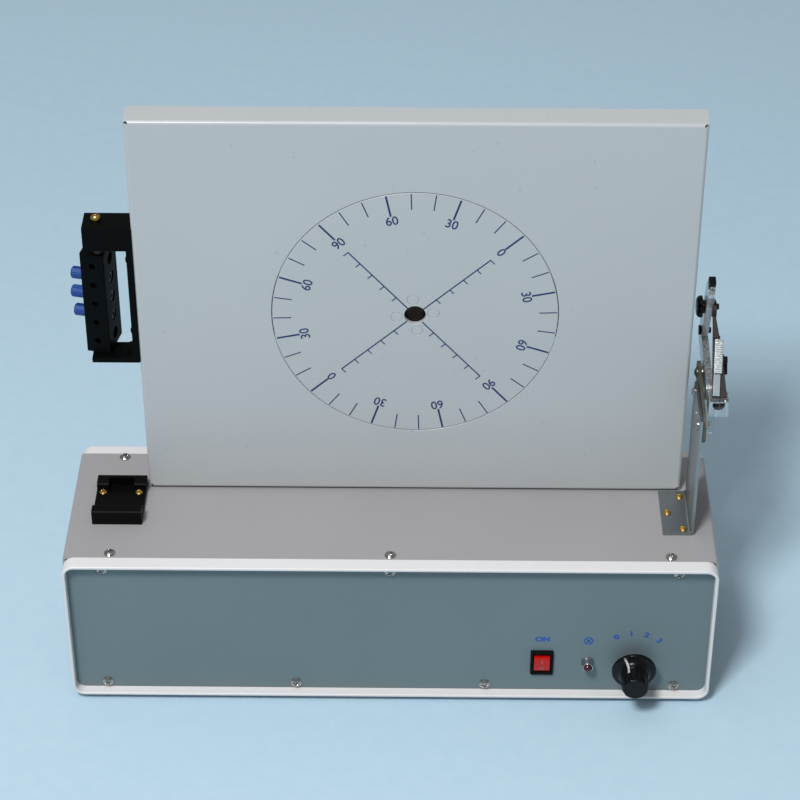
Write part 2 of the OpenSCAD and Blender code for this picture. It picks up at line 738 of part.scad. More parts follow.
// The mains inlet with its three pins, screwed to the rear panel
module mains_inlet() {
  flange_t = 2.5;
  cup = 12;
  floor = 4;
  pin_x = inlet_w * 0.26;
  color("black") {
    difference() {
      union() {
        translate([inlet_x, 0, inlet_z]) slab_y(rear_y, rear_y + flange_t)
          round_rect(inlet_flange_w, inlet_h + 3, 2);
        translate([inlet_x, 0, inlet_z]) slab_y(rear_y - panel_t - cup - floor, rear_y)
          square([inlet_w - 0.6, inlet_h - 0.6], center = true);
      }
      translate([inlet_x, 0, inlet_z]) slab_y(rear_y - panel_t - cup, rear_y + flange_t + 1)
        round_rect(inlet_w - 4, inlet_h - 4, 2);
      for (s = [-1, 1])
        rod_y(rear_y - 1, rear_y + flange_t + 1, small_screw_r + fit, inlet_x + s * inlet_screw_x, inlet_z);
    }
    for (p = [[-pin_x, -2], [0, 3], [pin_x, -2]])
      translate([inlet_x + p[0] - 1, rear_y - panel_t - cup - 0.5, inlet_z + p[1] - 2.5])
        cube([2, cup, 5]);
  }
}

// The fuse holder with a coin slot in its cap
module fuse_holder() {
  color("black") translate([fuse_x, rear_y, inlet_z]) rotate([-90, 0, 0]) difference() {
    union() {
      cylinder(r = fuse_d / 2 + 1.5, h = 2);
      cylinder(r = fuse_d / 2, h = 9);
      translate([0, 0, -panel_t - 28]) cylinder(r = fuse_d / 2 - 1.2, h = panel_t + 28);
    }
    translate([-fuse_d, -0.8, 7.5]) cube([fuse_d * 2, 1.6, 4]);
  }
}

// The transformer: a laminated frame with two windows, its coil and a clamping strap's bolts
module transformer_core() {
  color("slategray") {
    translate([core_x, 0, floor_z + core_h / 2]) slab_y(core_y - core_d / 2, core_y + core_d / 2)
      difference() {
        square([core_w, core_h], center = true);
        for (s = [-1, 1]) translate([s * core_w / 4, 0])
          square([core_w / 6, core_h * 0.66], center = true);
      }
    for (s = [-1, 1]) difference() {
      translate([core_x + s * core_w * 0.62 - core_w * 0.12, core_y - core_d / 2, floor_z])
        cube([core_w * 0.24, core_d, core_foot_t]);
      translate([core_x + s * core_bolt_x, core_y, 0])
        cylinder(r = 2 + fit, h = 40, $fn = 32);
    }
  }
}

module transformer_coil() {
  w = core_w / 2 + core_w / 6 - 0.8;
  h = core_h * 0.66 - 0.8;
  color("khaki") translate([core_x, 0, floor_z + core_h / 2]) {
    for (s = [-1, 1]) slab_y(core_y + s * (core_d / 2 + 6) - 5.8, core_y + s * (core_d / 2 + 6) + 5.8)
      round_rect(w, h, 2);
    for (s = [-1, 1]) translate([s * core_w / 4, 0])
      slab_y(core_y - core_d / 2 - 1, core_y + core_d / 2 + 1)
        square([core_w / 6 - 0.8, h], center = true);
  }
}

module transformer_bolts() {
  color("gainsboro") for (s = [-1, 1])
    translate([core_x + s * core_bolt_x, core_y, floor_z + core_foot_t])
      pan_screw(2, sheet_t + core_foot_t + 0.2, 3.6, 2.2);
}

// The supply board on four spacers, with its parts on top
module supply_board() {
  color("darkgreen") difference() {
    translate([board_x - board_w / 2, -board_d / 2, board_z]) cube([board_w, board_d, board_t]);
    for (p = spacer_places()) translate([p[0], p[1], 0])
      cylinder(r = small_screw_r + fit, h = 60, $fn = 32);
  }
}

module board_spacers() {
  color("gainsboro") for (p = spacer_places()) translate([p[0], p[1], 0]) {
    translate([0, 0, floor_z]) cylinder(r = 3, h = board_z - floor_z, $fn = 6);
    translate([0, 0, board_z + board_t]) pan_screw(small_screw_r, board_z + board_t - foot_h - 0.1);
  }
}

module board_parts() {
  z = board_z + board_t;
  left = board_x - board_w / 2;
  fin_pitch = 5.2;
  color("midnightblue") {
    for (s = [-1, 1]) translate([left + 23, s * 14, z]) cylinder(r = 9, h = 30);
    for (k = [0:2]) translate([left + 55 + k * 26, board_d / 2 - 18, z]) {
      cube([18, 3, 26]);
      for (f = [0:3]) translate([f * fin_pitch, 3, 0]) cube([1.8, 7, 26]);
    }
    for (k = [0:4]) translate([left + 49 + k * 18, -12, z]) cylinder(r = 4, h = 11, $fn = 32);
    translate([left + board_w - 35, 6 - board_d / 2, z]) cube([24, 10, 12]);
  }
}

// The screen: a sheet folded back on four sides, with a round opening for the dial
module screen_panel() {
  outer_bend = screen_t + 0.8;
  color("whitesmoke") difference() {
    tray_form(screen_w, screen_h, screen_d, outer_bend, 0);
    tray_form(screen_w - 2 * screen_t, screen_h - 2 * screen_t, screen_d - 2 * screen_t, 0.8, screen_t);
    translate([screen_x - screen_w / 2 + return_w, screen_y + screen_d / 2, screen_z + return_w])
      cube([screen_w - 2 * return_w, screen_d, screen_h - 2 * return_w]);
    rod_y(screen_y - 1, screen_y + screen_d / 2, dial_r + dial_gap, screen_x, dial_z);
    for (sx = [-1, 1], sz = [-1, 1])
      rod_y(screen_y - 1, screen_y + 3, 1.2, screen_x + sx * (screen_w / 2 - 1.6),
        screen_z + screen_h / 2 + sz * (screen_h / 2 - 1.6));
    for (x = screen_bolt_xs)
      translate([x, screen_bolt_y, screen_z - 2]) cylinder(r = screw_r + fit, h = 6);
    for (p = strut_screw_places())
      rod_y(screen_y + screen_d - screen_t - 1, screen_y + screen_d + 1, small_screw_r + fit, p[0], p[1]);
    for (z = laser_screw_z) rod_x(screen_left - 2, screen_left + 4, small_screw_r + fit, pivot_y, z);
  }
}

// A closed tray blank with its front edges rounded along both directions
module tray_form(w, h, d, r, back) {
  z0 = screen_z + (screen_h - h) / 2;
  y0 = screen_y + back;
  intersection() {
    slab_z(z0, z0 + h) union() {
      translate([screen_x - w / 2, y0 + r]) square([w, d - r]);
      translate([screen_x - w / 2 + r, y0]) square([w - 2 * r, d]);
      for (s = [-1, 1]) translate([screen_x + s * (w / 2 - r), y0 + r]) circle(r);
    }
    slab_x(screen_x - w / 2, screen_x + w / 2) union() {
      translate([y0 + r, z0]) square([d - r, h]);
      translate([y0, z0 + r]) square([d, h - 2 * r]);
      for (z = [z0 + r, z0 + h - r]) translate([y0 + r, z]) circle(r);
    }
  }
}

function strut_screw_places() = [for (sx = [-1, 1], sz = [-1, 1])
  [screen_x + sx * (screen_w / 2 - strut_hole_in), dial_z + sz * (strut_h / 2 - 9)]];

module screen_washers() {
  color("saddlebrown") for (x = screen_bolt_xs) translate([x, screen_bolt_y, base_top])
    difference() {
      cylinder(r = 5, h = screen_gap);
      translate([0, 0, -1]) cylinder(r = screw_r + fit, h = screen_gap + 2);
    }
}

module screen_bolts() {
  grip = screen_t + screen_gap + sheet_t;
  color("gainsboro") for (x = screen_bolt_xs)
    translate([x, screen_bolt_y, screen_z + screen_t]) {
      pan_screw(screw_r, grip + 5);
      translate([0, 0, -grip - 3.2]) cylinder(r = screw_r * 1.9, h = 3.2, $fn = 6);
    }
}

// The dial: a flat disc flush with the screen
module dial_disc() {
  color("white") difference() {
    rod_y(screen_y, screen_y + dial_t, dial_r, screen_x, dial_z);
    rod_y(screen_y - 1, screen_y + dial_t + 1, socket_d / 2, screen_x, dial_z);
    for (k = [0:3]) rivet_bore(k, screen_y - 1, screen_y + 1.5, rivet_d / 2 + 0.02);
    for (k = [0:3]) rivet_bore(k, screen_y - 1, screen_y + dial_t + 1, 2 + fit);
  }
}

// One of four round features on a circle about the dial's centre
module rivet_bore(k, y0, y1, r) {
  a = 7 + 90 * k;
  rod_y(y0, y1, r, screen_x + rivet_place * cos(a), dial_z + rivet_place * sin(a));
}

module dial_rivets() {
  color("white") for (k = [0:3]) {
    rivet_bore(k, screen_y + 0.1, screen_y + 1.5, rivet_d / 2);
    rivet_bore(k, screen_y + 1, flange_y1 + 0.6, 2);
  }
}

// The hub: a flanged sleeve whose bore carries the optical pieces
module dial_hub() {
  color("silver") difference() {
    union() {
      rod_y(flange_y0, flange_y1, hub_flange_d / 2, screen_x, dial_z);
      rod_y(flange_y0, nut_y1 + 0.6, hub_r, screen_x, dial_z);
    }
    rod_y(flange_y0 - 1, nut_y1 + 2, socket_d / 2, screen_x, dial_z);
    for (k = [0:3]) rivet_bore(k, flange_y0 - 1, flange_y1 + 1, 2 + fit);
  }
}

module dial_nut() {
  color("silver") difference() {
    rod_y(nut_y0, nut_y1, hub_r + 5, screen_x, dial_z);
    rod_y(nut_y0 - 1, nut_y1 + 1, hub_r + 0.02, screen_x, dial_z);
    for (k = [0:3]) rotate_about_dial(k * 90)
      translate([screen_x + hub_r + 3.4, nut_y0 + 1, dial_z - 1.2]) cube([4, 6, 2.4]);
  }
}

module rotate_about_dial(a) {
  translate([screen_x, 0, dial_z]) rotate([0, a, 0]) translate([-screen_x, 0, -dial_z]) children();
}

// The flanged bush that the hub turns in
module dial_bearing() {
  color("goldenrod") difference() {
    union() {
      rod_y(bearing_y0, bearing_y1, hub_r + 3, screen_x, dial_z);
      rod_y(strut_y - 2.5, strut_y, hub_r + 7, screen_x, dial_z);
    }
    rod_y(bearing_y0 - 1, bearing_y1 + 1, hub_r + fit, screen_x, dial_z);
  }
}

// The strut across the back of the screen, with its long edges folded forward
module dial_strut() {
  half = screen_w / 2 - screen_t - 0.3;
  color("silver") difference() {
    union() {
      translate([screen_x - half, strut_y, dial_z - strut_h / 2]) cube([half * 2, strut_t, strut_h]);
      for (s = [-1, 1])
        translate([screen_x - half + return_w, strut_y - 6,
          dial_z + s * (strut_h / 2 - strut_t / 2) - strut_t / 2])
            cube([(half - return_w) * 2, 6, strut_t]);
    }
    rod_y(strut_y - 1, strut_y + strut_t + 1, hub_r + 3 + fit, screen_x, dial_z);
    for (p = strut_screw_places())
      rod_y(strut_y - 1, strut_y + strut_t + 1, small_screw_r + fit, p[0], p[1]);
  }
}

module strut_screws() {
  color("gainsboro") for (p = strut_screw_places())
    translate([p[0], screen_y + screen_d, p[1]]) rotate([-90, 0, 0])
      pan_screw(small_screw_r, screen_t + strut_t + 1.5);
}

// The laser bracket: a thick upper arm and a thin lower plate on an upright
module laser_bracket() {
  z1 = laser_z + laser_bracket_h;
  fillet = 6;
  leg_x = screen_left - laser_leg_t;
  color([0.12, 0.12, 0.13]) difference() {
    slab_y(screen_y, screen_y + screen_d) difference() {
      translate([laser_left, laser_z]) square([laser_bracket_w, laser_bracket_h]);
      translate([laser_left - 1, laser_z + laser_plate_t])
        square([leg_x - fillet - laser_left + 1, laser_bracket_h - laser_plate_t - laser_arm_t]);
      translate([leg_x - fillet - 1, laser_z + laser_plate_t + fillet])
        square([fillet + 1, laser_bracket_h - laser_plate_t - laser_arm_t - fillet]);
      translate([leg_x - fillet, laser_z + laser_plate_t + fillet]) circle(fillet);
    }
    translate([pivot_x, pivot_y, laser_z - 1]) cylinder(r = pivot_r + fit, h = laser_plate_t + 2);
    translate([pivot_x, pivot_y, z1 - laser_arm_t - 1])
      cylinder(r = pivot_r + fit, h = laser_arm_t + 2);
    for (z = laser_screw_z) rod_x(leg_x - 1, screen_left + 1, small_screw_r + fit, pivot_y, z);
  }
}

module laser_bracket_screws() {
  leg_x = screen_left - laser_leg_t;
  color("gold") for (z = laser_screw_z)
    translate([leg_x, pivot_y, z]) rotate([0, -90, 0]) {
      pan_screw(small_screw_r, laser_leg_t + screen_t + 3, 3, 2);
      translate([0, 0, -laser_leg_t - screen_t - 2.4]) cylinder(r = 3, h = 2.4, $fn = 6);
    }
}

// The two pivot screws of the bar, from above and from below
module laser_pivots() {
  z1 = laser_z + laser_bracket_h;
  top_l = laser_arm_t + bar_gap + pivot_reach;
  color("gainsboro") {
    translate([pivot_x, pivot_y, z1]) pan_screw(pivot_r, top_l, 3.2, 4.6);
    translate([pivot_x, pivot_y, laser_z]) rotate([180, 0, 0])
      pan_screw(pivot_r, laser_plate_t + bar_floor_gap + pivot_reach, 3.2, 2.2);
  }
}

// Spacer rings that hold the bar between the arm and the plate
module pivot_rings() {
  color("goldenrod") for (r = [[bar_z + bar_h + 0.1, bar_gap - 0.2],
    [bar_z - bar_floor_gap + 0.1, bar_floor_gap - 0.2]])
    translate([pivot_x, pivot_y, r[0]]) difference() {
      cylinder(r = 4.2, h = r[1]);
      translate([0, 0, -1]) cylinder(r = pivot_r + fit, h = r[1] + 2);
    }
}

// Puts children from the bar's own frame into place
module in_bar_frame() {
  translate([pivot_x, pivot_y, 0]) rotate(-bar_angle) children();
}

// The laser bar: five cross bores, each with a clamp screw's hole in the front face
module laser_bar() {
  color([0.12, 0.12, 0.13]) in_bar_frame() difference() {
    slab_z(bar_z, bar_z + bar_h)
      translate([bar_mid, bar_front + bar_d / 2]) round_rect(bar_w, bar_d, 0.8);
    for (z = station_z) {
      rod_x(bar_right - bar_w - 1, bar_right + 1, module_d / 2 + 0.02, laser_line, z);
      rod_y(bar_front - 1, laser_line, 2 + fit, bar_mid, z);
    }
    translate([0, 0, bar_z - 1]) cylinder(r = pivot_r + fit, h = pivot_reach + 1.4);
    translate([0, 0, bar_z + bar_h - pivot_reach - 0.4])
      cylinder(r = pivot_r + fit, h = pivot_reach + 1.4);
  }
}

// Three laser modules in the middle stations
module laser_modules() {
  r = module_d / 2;
  color("peru") in_bar_frame() for (k = [1:3])
    translate([bar_right - bar_w, laser_line, station_z[k]]) rotate([0, 90, 0]) difference() {
      cylinder(r = r, h = bar_w - 0.6);
      translate([0, 0, bar_w - 2.2]) cylinder(r = 1.6, h = 3, $fn = 32);
    }
}

module module_caps() {
  r = module_d / 2;
  color("cornflowerblue") in_bar_frame() for (k = [1:3])
    translate([bar_right - bar_w, laser_line, station_z[k]]) rotate([0, -90, 0]) {
      l = cap_l + (k == 2 ? 1 : 0);
      rotate_extrude() polygon([[0, 0.05], [r, 0.05], [r, l - 0.8], [r - 0.8, l], [1, l],
        [0.9, l - 2], [0, l - 2]]);
    }
}

module module_screws() {
  tip = laser_line - module_d / 2 - 0.05;
  color("gray") in_bar_frame() for (k = [1:3]) difference() {
    rod_y(tip - 4.5, tip, 2, bar_mid, station_z[k]);
    translate([bar_mid - 1.4, tip - 5.5, station_z[k] - 0.3]) cube([2.8, 1.8, 0.6]);
  }
}

// The accessory seat: a moulded block with a cross channel and a pocket
module accessory_seat() {
  r = 1.6;
  pocket_w = 17;
  pocket_d = 11.5;
  color([0.1, 0.1, 0.1]) difference() {
    translate([seat_x, 0, base_top]) slab_x(-seat_w / 2, seat_w / 2) union() {
      translate([seat_front + 0.01, 0]) square([seat_back - seat_front - 0.02, seat_floor]);
      translate([seat_front, 0]) square([seat_front_wall, seat_h - r]);
      translate([seat_front + r, 0]) square([seat_front_wall - 2 * r, seat_h]);
      for (y = [seat_front + r, seat_front + seat_front_wall - r])
        translate([y, seat_h - r]) circle(r);
      translate([seat_back - seat_rear_wall, 0]) square([seat_rear_wall, seat_rear_h - r]);
      translate([seat_back - seat_rear_wall + r, 0])
        square([seat_rear_wall - 2 * r, seat_rear_h]);
      for (y = [seat_back - seat_rear_wall + r, seat_back - r])
        translate([y, seat_rear_h - r]) circle(r);
    }
    for (p = seat_screw_places())
      translate([p[0], p[1], base_top - 1]) cylinder(r = small_screw_r + fit, h = seat_h, $fn = 32);
    translate([seat_x - pocket_w / 2, seat_back - seat_rear_wall - 4.2, base_top + 1])
      cube([pocket_w, pocket_d, seat_h]);
  }
}

function seat_screw_places() =
  [for (s = [-1, 1]) [seat_x + s * (seat_w / 2 - seat_screw_in), seat_screw_y]];

// Brass screws that hold the seat and the side bracket on the cover
module accessory_screws() {
  color("gold") {
    for (p = seat_screw_places())
      translate([p[0], p[1], base_top + seat_floor])
        pan_screw(small_screw_r, seat_floor + sheet_t + 2, 2.9, 1.9);
    for (p = bracket_screw_places())
      translate([p[0], p[1], base_top + bracket_t]) rotate(p[1] * 5)
        pan_screw(small_screw_r, bracket_t + sheet_t + 2, 2.8, 1.9);
  }
}

// The side bracket: a sheet folded into a foot and a wall
module side_bracket() {
  foot_x0 = bracket_x - bracket_foot_w;
  r_out = bracket_t + 1.5;
  color("lightslategray") difference() {
    union() {
      translate([0, bracket_front + bracket_d, 0]) rotate([90, 0, 0]) linear_extrude(bracket_d) {
        translate([foot_x0, base_top]) square([bracket_foot_w - r_out, bracket_t]);
        translate([wall_x0, base_top + r_out]) square([bracket_t, bracket_h - r_out]);
        translate([bracket_x - r_out, base_top + r_out]) intersection() {
          difference() {
            circle(r_out);
            circle(r_out - bracket_t);
          }
          translate([0, -r_out]) square([r_out, r_out]);
        }
      }
    }
    for (p = bracket_screw_places())
      translate([p[0], p[1], base_top - 1]) cylinder(r = small_screw_r + fit, h = 6, $fn = 32);
    for (p = [arm_pivot, lock_point])
      rod_x(wall_x0 - 1, bracket_x + 1, joint_r + fit, p[0], p[1]);
    rod_x(wall_x0 - 1, bracket_x + 1, 1.6, (arm_pivot[0] + lock_point[0]) / 2, arm_pivot[1] + 0.5);
  }
}

function bracket_screw_places() = [
  [bracket_x - 6.6, bracket_front + bracket_d - 6.2],
  [bracket_x - 15.6, bracket_front + bracket_d / 2 - 1],
  [bracket_x - 6.6, bracket_front + 4.4]];

// The swing arm: a link on the bracket's outer side, with an arc slot for its lock screw
module swing_arm() {
  slot_r = joint_r + 0.25;
  color("dimgray") slab_x(arm_x0, arm_x1) difference() {
    union() taper_link(arm_pivot, 11, mirror_pivot_at, 7.5);
    translate(arm_pivot) circle(joint_r + fit);
    translate(mirror_pivot_at) circle(joint_r + fit);
    intersection() {
      translate(arm_pivot) difference() {
        circle(lock_radius + slot_r, $fn = 96);
        circle(lock_radius - slot_r, $fn = 96);
      }
      translate(arm_pivot)
        polygon([[0, 0], for (s = [-1, 1]) 2 * lock_radius * heading(swing_slope + s * arm_swing)]);
    }
    for (s = [-1, 1])
      translate(arm_pivot + lock_radius * heading(swing_slope + s * arm_swing)) circle(slot_r);
  }
}

// The arm's pivot screw and its lock screw, each with a nut outside
module arm_screws() {
  long = arm_x1 + nut_gap - 0.15 - wall_x0;
  color("gainsboro") for (p = [arm_pivot, lock_point])
    translate([wall_x0, p[0], p[1]]) rotate([0, -90, 0]) {
      pan_screw(joint_r, long + (p == arm_pivot ? 2 : 0), 3.4, 2.4);
      translate([0, 0, -long]) cylinder(r = 3.4, h = nut_gap - 0.25, $fn = 6);
    }
}

// The mirror arm: two flat legs that meet at a corner, and a lug for the pivot
module mirror_arm() {
  color("lightgray") slab_x(plate_x0, plate_x1) difference() {
    union() {
      round_bar(arm_corner, arm_top, leg_w);
      round_bar(arm_corner, arm_front, leg_w);
      translate(mirror_pivot_at) circle(8);
    }
    for (p = [mirror_pivot_at, knob_at, corner_knob_at]) translate(p) circle(joint_r + fit);
    translate([block_y + block_d + 0.1 - 20, block_z - 10]) square([20, block_h + 20]);
  }
}

// Pivot screw between the swing arm and the mirror arm, with its nut outside
module mirror_pivot() {
  color("gainsboro") translate([arm_x0, mirror_pivot_at[0], mirror_pivot_at[1]])
    rotate([0, -90, 0]) {
      pan_screw(joint_r, plate_x1 - arm_x0 + 3.4, 3.4, 2);
      translate([0, 0, arm_x0 - plate_x1 - 3]) cylinder(r = 3.4, h = 2.7, $fn = 6);
      translate([0, 0, arm_x0 - plate_x0 + 0.1]) cylinder(r = 4, h = nut_gap - 0.2, $fn = 48);
    }
}

// The large black clamp knob with a scalloped rim, a blind nut on the mirror plate's stud
module clamp_knob() {
  r = clamp_knob_d / 2;
  color([0.08, 0.08, 0.08])
    translate([plate_x0 - 0.2, knob_at[0], knob_at[1]]) rotate([0, -90, 0]) difference() {
      union() {
        cylinder(r = r * 0.6, h = 1.2);
        translate([0, 0, 1]) cylinder(r = r, h = knob_t, $fn = 48);
      }
      for (k = [0:9]) rotate(k * 36) translate([r + 1, 0, 0.5]) cylinder(r = 1.6, h = 8, $fn = 24);
      translate([0, 0, -1]) cylinder(r = joint_r + fit, h = knob_t + 1);
    }
}

// The small black knob near the arm's corner, with a stop nut outside
module corner_knob() {
  color([0.08, 0.08, 0.08]) {
    rod_x(plate_x0 - 3.6, plate_x0 - 0.2, 3.2, corner_knob_at[0], corner_knob_at[1]);
    rod_x(plate_x0 - 1, plate_x1 + 1.8, joint_r, corner_knob_at[0], corner_knob_at[1]);
  }
}

// Puts children on the ramp: Y up the slope from its lower edge, Z square to it
module on_ramp() {
  translate([ramp_x, ramp_low[0], ramp_low[1]]) rotate([ramp_slope, 0, 0]) children();
}

// The dark mirror plate: an inclined ramp with a tab against the mirror arm,
// held by a stud through the arm's upper leg
module mirror_plate() {
  color([0.2, 0.18, 0.17]) difference() {
    union() {
      on_ramp() slab_z(0, ramp_t) polygon([[0, 0], [ramp_w, 0], [ramp_w * 0.75, ramp_l / 2],
        [tab_x - ramp_x + 1, ramp_l], [tab_x - ramp_x, ramp_l]]);
      on_ramp() translate([tab_x - ramp_x, ramp_l * 0.3, -3]) cube([tab_t, ramp_l * 0.7, 3 + ramp_t / 2]);
      on_ramp() translate([lug_x, lug_y - 3, -4.4]) cube([1.6, 6, 4.4 + ramp_t]);
      slab_x(tab_x, tab_x + tab_t) round_bar(ramp_high, knob_at, 11);
      rod_x(plate_x0 + 0.4 - knob_t, tab_x + tab_t + 2.7, joint_r, knob_at[0], knob_at[1]);
    }
    on_ramp() rod_x(lug_x - 1, lug_x + 3, lever_r + fit, lug_y, lug_z);
  }
}

// The mirror and the pale scale strip, clamped on the ramp side by side
module mirror_glass() {
  color("lightcyan") on_ramp() translate([0.3, 0.4, ramp_t + 0.05]) rotate(-3.5) {
    cube([4.2, 14, 2]);
    translate([0, 14.4, 0]) cube([5.2, 22.5, 2.6]);
  }
}

// A black clamp lever on a lug at the ramp's right edge
module clamp_lever() {
  color([0.08, 0.08, 0.08]) on_ramp() {
    rod_x(lug_x + 1.7, lug_x + 4.1, 2.6, lug_y, lug_z);
    rod_x(lug_x - 0.9, lug_x + 2, lever_r, lug_y, lug_z);
    slab_x(lug_x + 1.7, lug_x + 4.1) round_bar([lug_y, lug_z], [lug_y - 7.5, lug_z - 2.6], 2.6);
  }
}

// The lens block at the front end of the mirror arm, with a half-round opening
module lens_block() {
  color("silver") difference() {
    translate([block_mid, 0, block_z + block_h / 2]) slab_y(block_y, block_y + block_d)
      round_rect(block_w, block_h, 0.8);
    slab_y(block_y - 1, block_y + block_d + 1) lens_outline(lens_d / 2);
    translate([slide_x - slide_w / 2 - fit, slide_y - fit, block_z - 1])
      cube([slide_w + 2 * fit, slide_t + 2 * fit, 4]);
    for (p = block_screw_places())
      translate([p[0], p[1], block_z + block_h - 3]) cylinder(r = 1 + fit, h = 4, $fn = 32);
  }
}

// The half-round opening in X and Z
module lens_outline(r) {
  flat = block_z + block_h - 0.8;
  intersection() {
    translate([lens_x, flat - 1.5]) circle(r);
    translate([lens_x - r, flat - 2 * r]) square([2 * r, 2 * r]);
  }
}

module block_lens() {
  color("lightblue") slab_y(block_y + 3, block_y + 5.6) lens_outline(lens_d / 2 - 0.02);
}

function block_screw_places() = [for (s = [0, 1]) [block_x + block_w - 1.9, block_y + 2.2 + s * 7]];

// Small bright screws: two in the lens block and one in the cap on the mirror arm
module holder_screws() {
  color("gainsboro") {
    for (p = block_screw_places())
      translate([p[0], p[1], block_z + block_h]) pan_screw(1, 2.6, 1.8, 1.1);
    at_arm_top() translate([0, 0, 5]) pan_screw(1.2, 4, 2, 1.4);
  }
}

// A clear slide held under the lens block
module glass_slide() {
  color("azure") translate([slide_x, 0, block_z + 2.8 - slide_h / 2])
    slab_y(slide_y, slide_y + slide_t) round_rect(slide_w, slide_h, 1);
}

// Puts children on the mirror arm's upper end, Z along the arm
module at_arm_top() {
  translate([plate_x0 + mirror_arm_t / 2, arm_top[0], arm_top[1]])
    rotate([90 - upper_leg_slope, 0, 0]) translate([0, 0, leg_w / 2]) children();
}

// The black cap on the mirror arm's upper end
module arm_cap() {
  color([0.08, 0.08, 0.08]) at_arm_top() difference() {
    translate([0, 0, 0.05]) cylinder(r = 2.3, h = 4.95, $fn = 48);
    translate([0, 0, 1]) cylinder(r = 1.2 + fit, h = 6, $fn = 32);
  }
}

front_frame();
rear_frame();
top_cover();
bottom_plate();
front_panel();
rear_panel();
cover_screws();
panel_screws();
rubber_feet();
foot_screws();
switch_housing();
switch_rocker();
lamp_bezel();
lamp_lens();
selector_switch();
selector_shaft();
selector_knob();
mains_inlet();
fuse_holder();
transformer_core();
transformer_coil();
transformer_bolts();
supply_board();
board_spacers();
board_parts();
screen_panel();
screen_washers();
screen_bolts();
dial_disc();
dial_rivets();
dial_hub();
dial_nut();
dial_bearing();
dial_strut();
strut_screws();
laser_bracket();
laser_bracket_screws();
laser_pivots();
pivot_rings();
laser_bar();
laser_modules();
module_caps();
module_screws();
accessory_seat();
side_bracket();
accessory_screws();
swing_arm();
arm_screws();
mirror_arm();
mirror_pivot();
clamp_knob();
corner_knob();
mirror_plate();
mirror_glass();
clamp_lever();
lens_block();
block_lens();
glass_slide();
arm_cap();
holder_screws();
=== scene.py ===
import json
import math
import bmesh
import bpy
from mathutils import Matrix, Vector

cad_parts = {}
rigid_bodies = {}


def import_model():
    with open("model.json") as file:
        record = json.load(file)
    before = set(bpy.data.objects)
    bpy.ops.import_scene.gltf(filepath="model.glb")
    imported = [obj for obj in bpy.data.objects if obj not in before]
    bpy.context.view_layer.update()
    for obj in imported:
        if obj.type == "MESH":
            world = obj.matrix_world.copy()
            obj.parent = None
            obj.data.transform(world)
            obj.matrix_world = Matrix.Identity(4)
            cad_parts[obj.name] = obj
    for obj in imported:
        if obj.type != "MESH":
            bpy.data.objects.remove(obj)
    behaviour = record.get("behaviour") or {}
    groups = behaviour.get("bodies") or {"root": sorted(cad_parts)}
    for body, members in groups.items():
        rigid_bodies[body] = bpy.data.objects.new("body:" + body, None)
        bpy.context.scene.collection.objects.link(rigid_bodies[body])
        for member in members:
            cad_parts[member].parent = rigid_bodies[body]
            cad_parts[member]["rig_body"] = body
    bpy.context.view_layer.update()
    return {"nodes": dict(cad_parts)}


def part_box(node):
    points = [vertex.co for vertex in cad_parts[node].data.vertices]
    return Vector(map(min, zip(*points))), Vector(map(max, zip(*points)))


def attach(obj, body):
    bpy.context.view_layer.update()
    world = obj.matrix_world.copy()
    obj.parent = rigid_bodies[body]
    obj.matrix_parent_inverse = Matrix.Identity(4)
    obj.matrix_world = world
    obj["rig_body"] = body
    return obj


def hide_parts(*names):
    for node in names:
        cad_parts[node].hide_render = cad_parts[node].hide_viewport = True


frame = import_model()

# The camera stands 1.3 m in front of the instrument and looks down on it at 36 degrees.
# Colours are shown as they are, with no film curve.
MM = 0.001
bpy.context.scene.view_settings.view_transform = "Standard"
camera = bpy.data.objects.new("camera", bpy.data.cameras.new("camera"))
bpy.context.scene.collection.objects.link(camera)
bpy.context.scene.camera = camera
camera.data.lens = 114.38
camera.data.sensor_width = 36
camera_turn = math.radians(0.683)
camera_tilt = math.radians(90 - 36.257)
camera_roll = math.radians(-0.024)
camera.matrix_world = (
    Matrix.Translation(Vector((21.261, -1303.838, 1157.375)) * MM)
    @ Matrix.Rotation(camera_turn, 4, "Z")
    @ Matrix.Rotation(camera_tilt, 4, "X")
    @ Matrix.Rotation(camera_roll, 4, "Z")
)


# The table is a plain pale laminate top. It takes a soft shadow under the case, and its faint
# mottle keeps the shadow's edge from looking printed.
def linear(hex_colour):
    channels = [int(hex_colour[i:i + 2], 16) / 255 for i in (1, 3, 5)]
    return tuple(c / 12.92 if c <= 0.04045 else ((c + 0.055) / 1.055) ** 2.4 for c in channels) + (1.0,)


def add_node(tree, kind, inputs=(), **settings):
    made = tree.nodes.new(kind)
    for name, value in settings.items():
        setattr(made, name, value)
    for socket, value in dict(inputs).items():
        if isinstance(value, bpy.types.NodeSocket):
            tree.links.new(value, made.inputs[socket])
        else:
            made.inputs[socket].default_value = value
    return made


def begin_material(name):
    material = bpy.data.materials.new(name)
    material.use_nodes = True
    tree = material.node_tree
    tree.nodes.clear()
    place = add_node(tree, "ShaderNodeTexCoord").outputs["Object"]
    return material, tree, place


def end_material(tree, inputs):
    shader = add_node(tree, "ShaderNodeBsdfPrincipled", inputs)
    add_node(tree, "ShaderNodeOutputMaterial", {"Surface": shader.outputs[0]})


